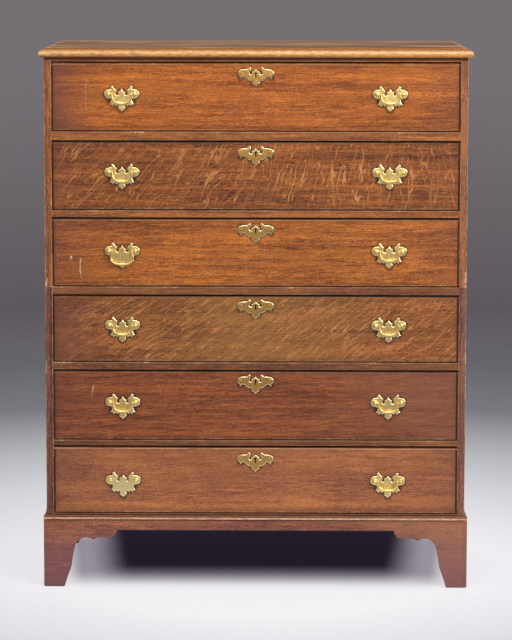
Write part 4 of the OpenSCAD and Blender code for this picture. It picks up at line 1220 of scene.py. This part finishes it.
def softboxes():
    """Square lamps that face the middle of the object: name, place, side and power."""
    lamps = []
    for name, place, size, power in [
        ("key_softbox", (-2.1, -3.6, 3.2), 1.1, 10),
        ("side_softbox", (3.0, -3.4, 2.2), 2.4, 116),
        ("front_softbox", (0.3, -6.8, 2.3), 2.6, 36),
        ("top_softbox", (0, -1.5, 4.2), 1.8, 62),
        ("rear_softbox", (0, 2.4, 4.4), 2.0, 85),
    ]:
        light = bpy.data.lights.new(name, "AREA")
        light.shape, light.size, light.energy = "SQUARE", size, power
        lamp = bpy.data.objects.new(name, light)
        lamp.location = place
        way = Vector((0, 0, 0.7)) - lamp.location
        lamp.rotation_euler = way.to_track_quat("-Z", "Y").to_euler()
        lamp.visible_camera = False
        lamps.append(lamp)
    return lamps


def studio_air(backdrop):
    """Even light from all round: dim on the matt, brighter in what shines, and the backdrop's
    tone where the eye sees past the floor."""
    world = bpy.data.worlds.new("studio")
    world.use_nodes = True
    tree = world.node_tree
    tree.nodes.clear()
    node = functools.partial(add, tree)
    path = node("LightPath").outputs
    seen = node("Math", {0: path["Is Camera Ray"], 1: path["Is Transmission Ray"]},
                operation="MAXIMUM")
    air, room, view = [
        node("Background", {"Color": tone, "Strength": strength})
        for tone, strength in (((1, 1, 1), 0.15), ((0.95, 0.93, 0.9), 0.62), (backdrop, 1))]
    mixed = node("MixShader", {0: path["Is Glossy Ray"], 1: air, 2: room})
    mixed = node("MixShader", {0: seen, 1: mixed, 2: view})
    add(tree, "OutputWorld", {"Surface": mixed})
    return world


def studio_camera():
    """The camera at the photograph's viewing angle, with angles in degrees."""
    camera = bpy.data.cameras.new("camera")
    camera.sensor_width, camera.sensor_fit = 36, "AUTO"
    camera.lens, camera.shift_y = 146.4, -0.135
    camera.clip_end = 1000
    eye = bpy.data.objects.new("camera", camera)
    pitch, yaw, roll = math.radians(6.26), math.radians(-0.57), math.radians(0.08)
    eye.rotation_euler = (math.pi / 2 - pitch, -roll, -yaw)
    eye.location = (0.062, -6.5, 1.557)
    return eye


class CHEST_OT_stage(bpy.types.Operator):
    """Makes the pale floor, the soft lights and the camera"""

    bl_idname = "chest.stage"
    bl_label = "Studio"

    def execute(self, context):
        scene, colours = context.scene, context.scene.chest_colours
        lamps, eye = softboxes(), studio_camera()
        for obj in lamps + [eye]:
            scene.collection.objects.link(obj)
        scene.world = studio_air(colours.backdrop)
        scene.camera = eye
        scene.view_settings.view_transform = "Standard"
        studio_floor(colours)
        return {"FINISHED"}


class CHEST_PT_panel(bpy.types.Panel):
    """Lists the pieces of the chest in the sidebar"""

    bl_idname = "CHEST_PT_panel"
    bl_label = "Oak chest-on-chest"
    bl_space_type = "VIEW_3D"
    bl_region_type = "UI"
    bl_category = "Chest"

    def draw(self, context):
        for operator in OPERATORS:
            self.layout.operator(operator.bl_idname)
        for group in (context.scene.chest_sizes, context.scene.chest_colours):
            box = self.layout.box()
            for name in group.__annotations__:
                box.prop(group, name)


OPERATORS = (CHEST_OT_case, CHEST_OT_inside, CHEST_OT_drawers, CHEST_OT_plates, CHEST_OT_posts,
             CHEST_OT_bails, CHEST_OT_locks, CHEST_OT_stage)
CLASSES = (ChestSizes, ChestColours) + OPERATORS + (CHEST_PT_panel,)


def register():
    for item in CLASSES:
        bpy.utils.register_class(item)
    bpy.types.Scene.chest_sizes = PointerProperty(type=ChestSizes)
    bpy.types.Scene.chest_colours = PointerProperty(type=ChestColours)


def unregister():
    del bpy.types.Scene.chest_colours
    del bpy.types.Scene.chest_sizes
    for item in reversed(CLASSES):
        bpy.utils.unregister_class(item)


def main():
    register()
    for call in (bpy.ops.chest.case, bpy.ops.chest.inside, bpy.ops.chest.drawers,
                 bpy.ops.chest.plates, bpy.ops.chest.posts, bpy.ops.chest.bails,
                 bpy.ops.chest.locks, bpy.ops.chest.stage):
        call()


if __name__ == "__main__":
    main()
